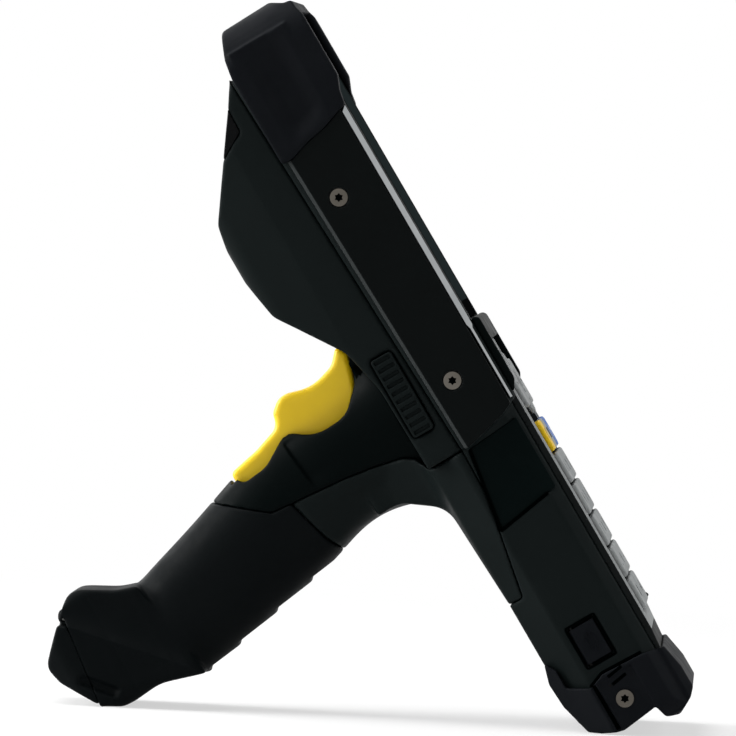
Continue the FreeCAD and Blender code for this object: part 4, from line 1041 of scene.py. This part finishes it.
@dataclass
class RearHousing:
    """Back shell with the scan bulge, its window and the squeeze latches."""

    def build(self) -> None:
        """Builds the shell, the window and both latches."""
        Moulding("rear_housing", BODY_PLASTIC, voxel=0.55, rounds=4, keep=0.25).build()
        Moulding("scan_window", GLASS_BLACK, voxel=0.3, rounds=2, keep=0.2).build()
        work = bmesh.new()
        for side, sign in (("left", 1.0), ("right", -1.0)):
            Moulding("side_latch_" + side, BODY_PLASTIC, voxel=0.16, rounds=2, keep=0.25).build()
            # Painted shade: a near-black sheet on the floor of each latch pocket.
            floor = [(-0.4, 103.0), (8.6, 103.0), (8.6, 130.2), (-0.4, 130.2)]
            low, high = sorted((sign * 28.7, sign * 29.4))
            side_bar(work, floor, low, high)
        add_mesh("latch_pocket_shade", work, "terminal", PAINTED_SHADE_BLACK)


@dataclass
class Handle:
    """Pistol handle: two shells, rubber sleeve, foot with its door, and trigger."""

    crease_top: Corner = (-33.0, 120.8)
    crease_end: Corner = (-31.3, 107.0)
    crease_depth: float = 1.0
    sleeve_end: tuple[Corner, Corner] = ((-89.0, 107.9), (-84.0, 75.9))
    door_seam: tuple[Corner, Corner] = ((-111.2, 110.2), (-114.8, 83.0))
    rim: tuple[Corner, Corner] = ((-111.6, 107.6), (-88.0, 81.0))
    notch: tuple[Corner, Corner] = ((-115.8, 92.7), (-108.7, 84.2))
    neck_half: float = 14.6
    rib_width: float = 2.6
    rib_wall: float = 3.0

    def build(self) -> None:
        """Builds every piece of the handle."""
        Moulding("handle_front_shell", SHADED_SHELL_BLACK, voxel=0.42, rounds=5, mover=self._crease).build()
        Moulding("handle_rear_shell", BODY_PLASTIC, voxel=0.45, rounds=12).build()
        Moulding("grip_sleeve", GRIP_RUBBER, voxel=0.45, rounds=30, ease=self._off_seams,
                 joined=("grip_foot",), reach=self._lengthen, mover=self._flare).build()
        Moulding("battery_door", GRIP_RUBBER, voxel=0.42, rounds=16, slot="body_plastic",
                 ease=self._off_seams, mover=self._flare).build()
        self._cheeks()
        self._liners()
        Moulding("trigger", TRIGGER_YELLOW, voxel=0.3, rounds=5, keep=0.35).build()

    def _cheeks(self) -> None:
        """Builds the lips that close the shell's corners behind the trigger."""
        work = bmesh.new()
        corner = [(-6.0, 126.5), (-5.7, 131.6), (-3.6, 134.0), (-1.2, 131.0), (-1.2, 126.5)]
        for side in (-1.0, 1.0):
            low, high = sorted((side * 8.1, side * 11.0))
            side_bar(work, corner, low, high)
        add_mesh("trigger_cheeks", work, "terminal", SHADED_SHELL_BLACK, 0.4)

    def _liners(self) -> None:
        """Builds the ribs inside the seams, which no light passes through."""
        work = bmesh.new()
        ribs = (((-4.4, 130.6), (-1.5, 122.8), 9.0), ((-1.5, 122.8), (-0.1, 95.2), 9.0),
                ((9.3, 94.4), (12.2, 94.3), 20.0), ((-38.3, 103.2), (-38.3, 106.2), 7.0))
        for start, end, inner in ribs:
            for side in (-1.0, 1.0):
                low, high = sorted((side * inner, side * (inner + self.rib_wall)))
                side_bar(work, stroke(start, end, self.rib_width), low, high)
        # The ribs are near-black, painted as the shade inside the seams.
        add_mesh("seam_shade_ribs", work, "terminal", PAINTED_SHADE_BLACK)

    def _off_seams(self, points: np.ndarray) -> np.ndarray:
        """Weight that keeps the door's seam tight and the sleeve's steps crisp."""
        high, low = self.door_seam
        run = Vector(low) - Vector(high)
        aside = Vector((-run.y, run.x)).normalized()
        away = np.abs((points[:, 0] - high[0]) * aside.x + (points[:, 2] - high[1]) * aside.y)
        return ramp(away, 0.5, 2.2) * (0.12 + 0.88 * ramp(points[:, 0], -82.0, -87.0))

    def _lengthen(self, points: np.ndarray) -> np.ndarray:
        """Runs the sleeve's end into the foot, so that both are moulded in one."""
        high, low = self.sleeve_end
        end = high[0] + (high[1] - points[:, 2]) * (low[0] - high[0]) / (high[1] - low[1])
        points[:, 0] = np.where(np.abs(points[:, 0] - end) < 0.2, points[:, 0] - 1.2, points[:, 0])
        return points

    def _flare(self, points: np.ndarray) -> np.ndarray:
        """Draws the foot's neck in above its rim, and cuts the finger notch below the rim."""
        depth, across, level = points.T
        (high_depth, high_level), (low_depth, low_level) = self.rim
        run = Vector((low_depth - high_depth, low_level - high_level)).normalized()
        above = (depth - high_depth) * -run.y + (level - high_level) * run.x
        cad = np.interp(depth, (-123.0, -117.0, -103.0, -91.0, -83.0), (14.5, 19.0, 19.0, 15.8, 15.0))
        base = np.interp(depth, (-123.0, -117.0, -84.0), (14.5, 19.0, 18.2))
        neck = self.neck_half + (base - self.neck_half) * np.exp(-np.clip(above, 0.0, None) / 3.6)
        wanted = np.where(above > 0.0, neck, base)
        share = ramp(depth, -81.0, -88.0)
        points[:, 1] = across * (1.0 + share * (wanted / cad - 1.0))
        seam = self.door_seam[0][0] - (self.door_seam[0][1] - level) * 3.6 / 27.2
        beyond = seam - depth
        points[:, 0] = depth + 0.24 * ramp(beyond, 1.4, 0.4) * (beyond > 0.0) * ramp(level, 107.0,
                                                                                     105.0)
        first, last = Vector(self.notch[0]), Vector(self.notch[1])
        way = (last - first).normalized()
        along = (depth - first.x) * way.x + (level - first.y) * way.y
        aside = np.abs((depth - first.x) * -way.y + (level - first.y) * way.x)
        cut = window(along, -1.2, (last - first).length + 1.2, 2.4) * ramp(aside, 2.2, 0.6)
        points[:, 1] -= np.sign(across) * cut * ramp(np.abs(points[:, 1]), 12.0, 14.0) * 1.6
        return points

    def _crease(self, points: np.ndarray) -> np.ndarray:
        """Hollows the shell's sides behind the crease under the trigger."""
        depth, across, level = points.T
        share = (self.crease_top[1] - level) / (self.crease_top[1] - self.crease_end[1])
        line = self.crease_top[0] + (self.crease_end[0] - self.crease_top[0]) * share
        past = depth - line
        weight = ramp(past, -0.6, 0.6) * np.exp(-np.clip(past, 0.0, None) / 5.0)
        weight = weight * ramp(level, 105.2, 110.0)
        outside = ramp(np.abs(across), 9.5, 11.5)
        points[:, 1] = across - np.sign(across) * weight * outside * self.crease_depth
        return points


@dataclass
class PortLid:
    """Small hinged lid over the data port, with a raised plug symbol."""

    face: float = -35.0
    relief: float = 0.3
    line: float = 0.45
    prong_line: float = 0.4
    middle_depth: float = 15.3
    middle_level: float = 30.4

    def build(self) -> None:
        """Builds the lid and its symbol."""
        Moulding("port_lid", BOOT_RUBBER, voxel=0.14, rounds=3, keep=0.25).build()
        depth, level = self.middle_depth, self.middle_level
        shapes = [stroke((depth, level - 1.6), (depth, level - 3.0), self.line)]
        for side in (-1.0, 1.0):
            aside, rise, prong = 1.3 * side, 1.5 * side, depth + 0.5 * side
            shapes.append(stroke((depth + aside, level - 1.5), (depth + aside, level + 1.5), self.line))
            shapes.append(stroke((depth - 1.3, level + rise), (depth + 1.3, level + rise), self.line))
            shapes.append(stroke((prong, level + 1.6), (prong, level + 2.9), self.prong_line))
        work = bmesh.new()
        for shape in shapes:
            side_bar(work, shape, self.face - self.relief, self.face + self.relief)
        add_mesh("port_lid_symbol", work, "port_lid_body", BOOT_RUBBER)
        # Painted shadow round the port lid's edge.
        frame_line = [(10.6, 24.0), (19.4, 24.0), (19.6, 24.2), (19.6, 36.6), (19.4, 36.8),
                      (10.6, 36.8), (10.4, 36.6), (10.4, 24.2), (10.6, 24.0)]
        gap_shade_line("port_lid_gap_shade", "terminal", frame_line, 0.6, 35.0, (-1.0,))


def dress_solids() -> None:
    """Gives every solid that still shows the finish of its slot."""
    slots = {part["node"]: part["material_slot"] for part in frame["record"]["subparts"]}
    for name, solid in frame["nodes"].items():
        paint(solid, BLACK_STEEL if name == "port_lid_pin" else SLOT_FINISHES[slots[name]])


@dataclass
class Studio:
    """Pale floor, soft lamps and the camera at the photograph's angle."""

    scale: float = 3.55
    picture: int = 736
    distance: float = 2.6
    aside: float = 2.71
    lean_right: float = 0.8643
    lean_up: float = 0.5030
    aim: tuple[float, float, float] = (-1.12, -20.0, 127.9)
    sensor: float = 36.0
    ambient: float = 0.08

    def build(self) -> None:
        """Builds the whole set."""
        self._floor()
        self._world()
        self._lamp("left_softbox", (-1.5, 0.0, 0.5), (0.9, 1.2), 40.0)
        self._lamp("top_softbox", (-0.5, -0.1, 1.35), (1.2, 1.0), 16.0)
        self._lamp("right_softbox", (1.35, -0.15, 0.75), (1.6, 1.6), 11.0)
        self._lamp("front_fill", (-0.9, -1.6, 0.5), (1.0, 1.0), 2.5)
        self._lamp("back_fill", (-1.0, 1.4, 1.0), (1.0, 1.0), 8.0)
        self._camera()
        bpy.context.scene.view_settings.view_transform = "Standard"
        log.info("studio ready")

    def _floor(self) -> None:
        """Lays a pale floor, which shows the shadow near the terminal and goes white further out."""
        half = 6.0
        mesh = bpy.data.meshes.new("studio_floor")
        corners = [(-half, -half, 0.0), (half, -half, 0.0), (half, half, 0.0), (-half, half, 0.0)]
        mesh.from_pydata(corners, [], [(0, 1, 2, 3)])
        floor = bpy.data.objects.new("studio_floor", mesh)
        bpy.context.scene.collection.objects.link(floor)
        floor.location.z = -0.0001
        material = bpy.data.materials.new("Pale floor")
        material.use_nodes = True
        tree = material.node_tree
        shader = tree.nodes["Principled BSDF"]
        shader.inputs["Base Color"].default_value = (0.86, 0.86, 0.86, 1.0)
        shader.inputs["Roughness"].default_value = 0.9
        shader.inputs["Specular IOR Level"].default_value = 0.0
        glow = tree.nodes.new("ShaderNodeEmission")
        glow.inputs["Strength"].default_value = 1.0
        mix = tree.nodes.new("ShaderNodeMixShader")
        place = tree.nodes.new("ShaderNodeTexCoord").outputs["Object"]
        reach = tree.nodes.new("ShaderNodeVectorMath")
        reach.operation = "LENGTH"
        tree.links.new(place, reach.inputs[0])
        share = tree.nodes.new("ShaderNodeMath")
        share.operation = "MULTIPLY"
        spread(tree, reach.outputs["Value"], share.inputs[0], 0.2, 0.7, 0.6, 1.0)
        tree.links.new(self._seen(tree), share.inputs[1])
        tree.links.new(share.outputs[0], mix.inputs[0])
        tree.links.new(shader.outputs[0], mix.inputs[1])
        tree.links.new(glow.outputs[0], mix.inputs[2])
        tree.links.new(mix.outputs[0], tree.nodes["Material Output"].inputs[0])
        mesh.materials.append(material)

    def _seen(self, tree: bpy.types.NodeTree) -> bpy.types.NodeSocket:
        """1 where the camera, a reflection or a view through glass looks."""
        path = tree.nodes.new("ShaderNodeLightPath")
        first = math_node(tree, "MAXIMUM", path.outputs["Is Camera Ray"], path.outputs["Is Glossy Ray"])
        return math_node(tree, "MAXIMUM", first, path.outputs["Is Transmission Ray"])

    def _world(self) -> None:
        """White where it is seen, and a dim even light elsewhere."""
        world = bpy.data.worlds.new("Studio")
        bpy.context.scene.world = world
        world.use_nodes = True
        tree = world.node_tree
        back = tree.nodes["Background"]
        back.inputs["Color"].default_value = (1.0, 1.0, 1.0, 1.0)
        white = math_node(tree, "MULTIPLY", self._seen(tree), 1.0 - self.ambient)
        tree.links.new(math_node(tree, "ADD", white, self.ambient), back.inputs["Strength"])

    def _lamp(self, name: str, place: tuple[float, float, float], size: tuple[float, float],
              power: float) -> None:
        """Hangs a soft lamp that faces the terminal.

        Args:
            name: Its name.
            place: Where it hangs, in metres.
            size: Its width and height in metres.
            power: Its power in watts.
        """
        light = bpy.data.lights.new(name, "AREA")
        light.shape = "RECTANGLE"
        light.size, light.size_y = size
        light.energy = power
        lamp = bpy.data.objects.new(name, light)
        bpy.context.scene.collection.objects.link(lamp)
        lamp.location = place
        way = Vector((0.0, 0.0, 0.1)) - Vector(place)
        lamp.rotation_euler = way.to_track_quat("-Z", "Y").to_euler()

    def _camera(self) -> None:
        """Sets the camera where the photograph was taken from."""
        turn = math.radians(self.aside)
        across = Vector((0.0, 1.0, 0.0))
        back = BODY.depth_axis * math.sin(turn) - across * math.cos(turn)
        flat = BODY.depth_axis * math.cos(turn) + across * math.sin(turn)
        right = flat * self.lean_right - BODY.level_axis * self.lean_up
        up = flat * self.lean_up + BODY.level_axis * self.lean_right
        place = BODY.place(*self.aim) + back * self.distance
        data = bpy.data.cameras.new("camera")
        data.sensor_width = self.sensor
        data.lens = self.sensor * self.distance / (self.picture / self.scale * MM)
        data.clip_start, data.clip_end = 0.1, 20.0
        camera = bpy.data.objects.new("camera", data)
        bpy.context.scene.collection.objects.link(camera)
        turned = Matrix((right.normalized(), up.normalized(), back.normalized())).transposed()
        camera.matrix_world = Matrix.Translation(place) @ turned.to_4x4()
        bpy.context.scene.camera = camera


def main() -> None:
    """Dresses the terminal from its display to its foot, and sets the studio."""
    dress_solids()
    for assembly in (DisplaySection(), Keypad(), Bumpers(), RearHousing(), Handle(), PortLid(),
                     Studio()):
        log.info("building %s", type(assembly).__name__)
        assembly.build()


if __name__ == "__main__":
    main()
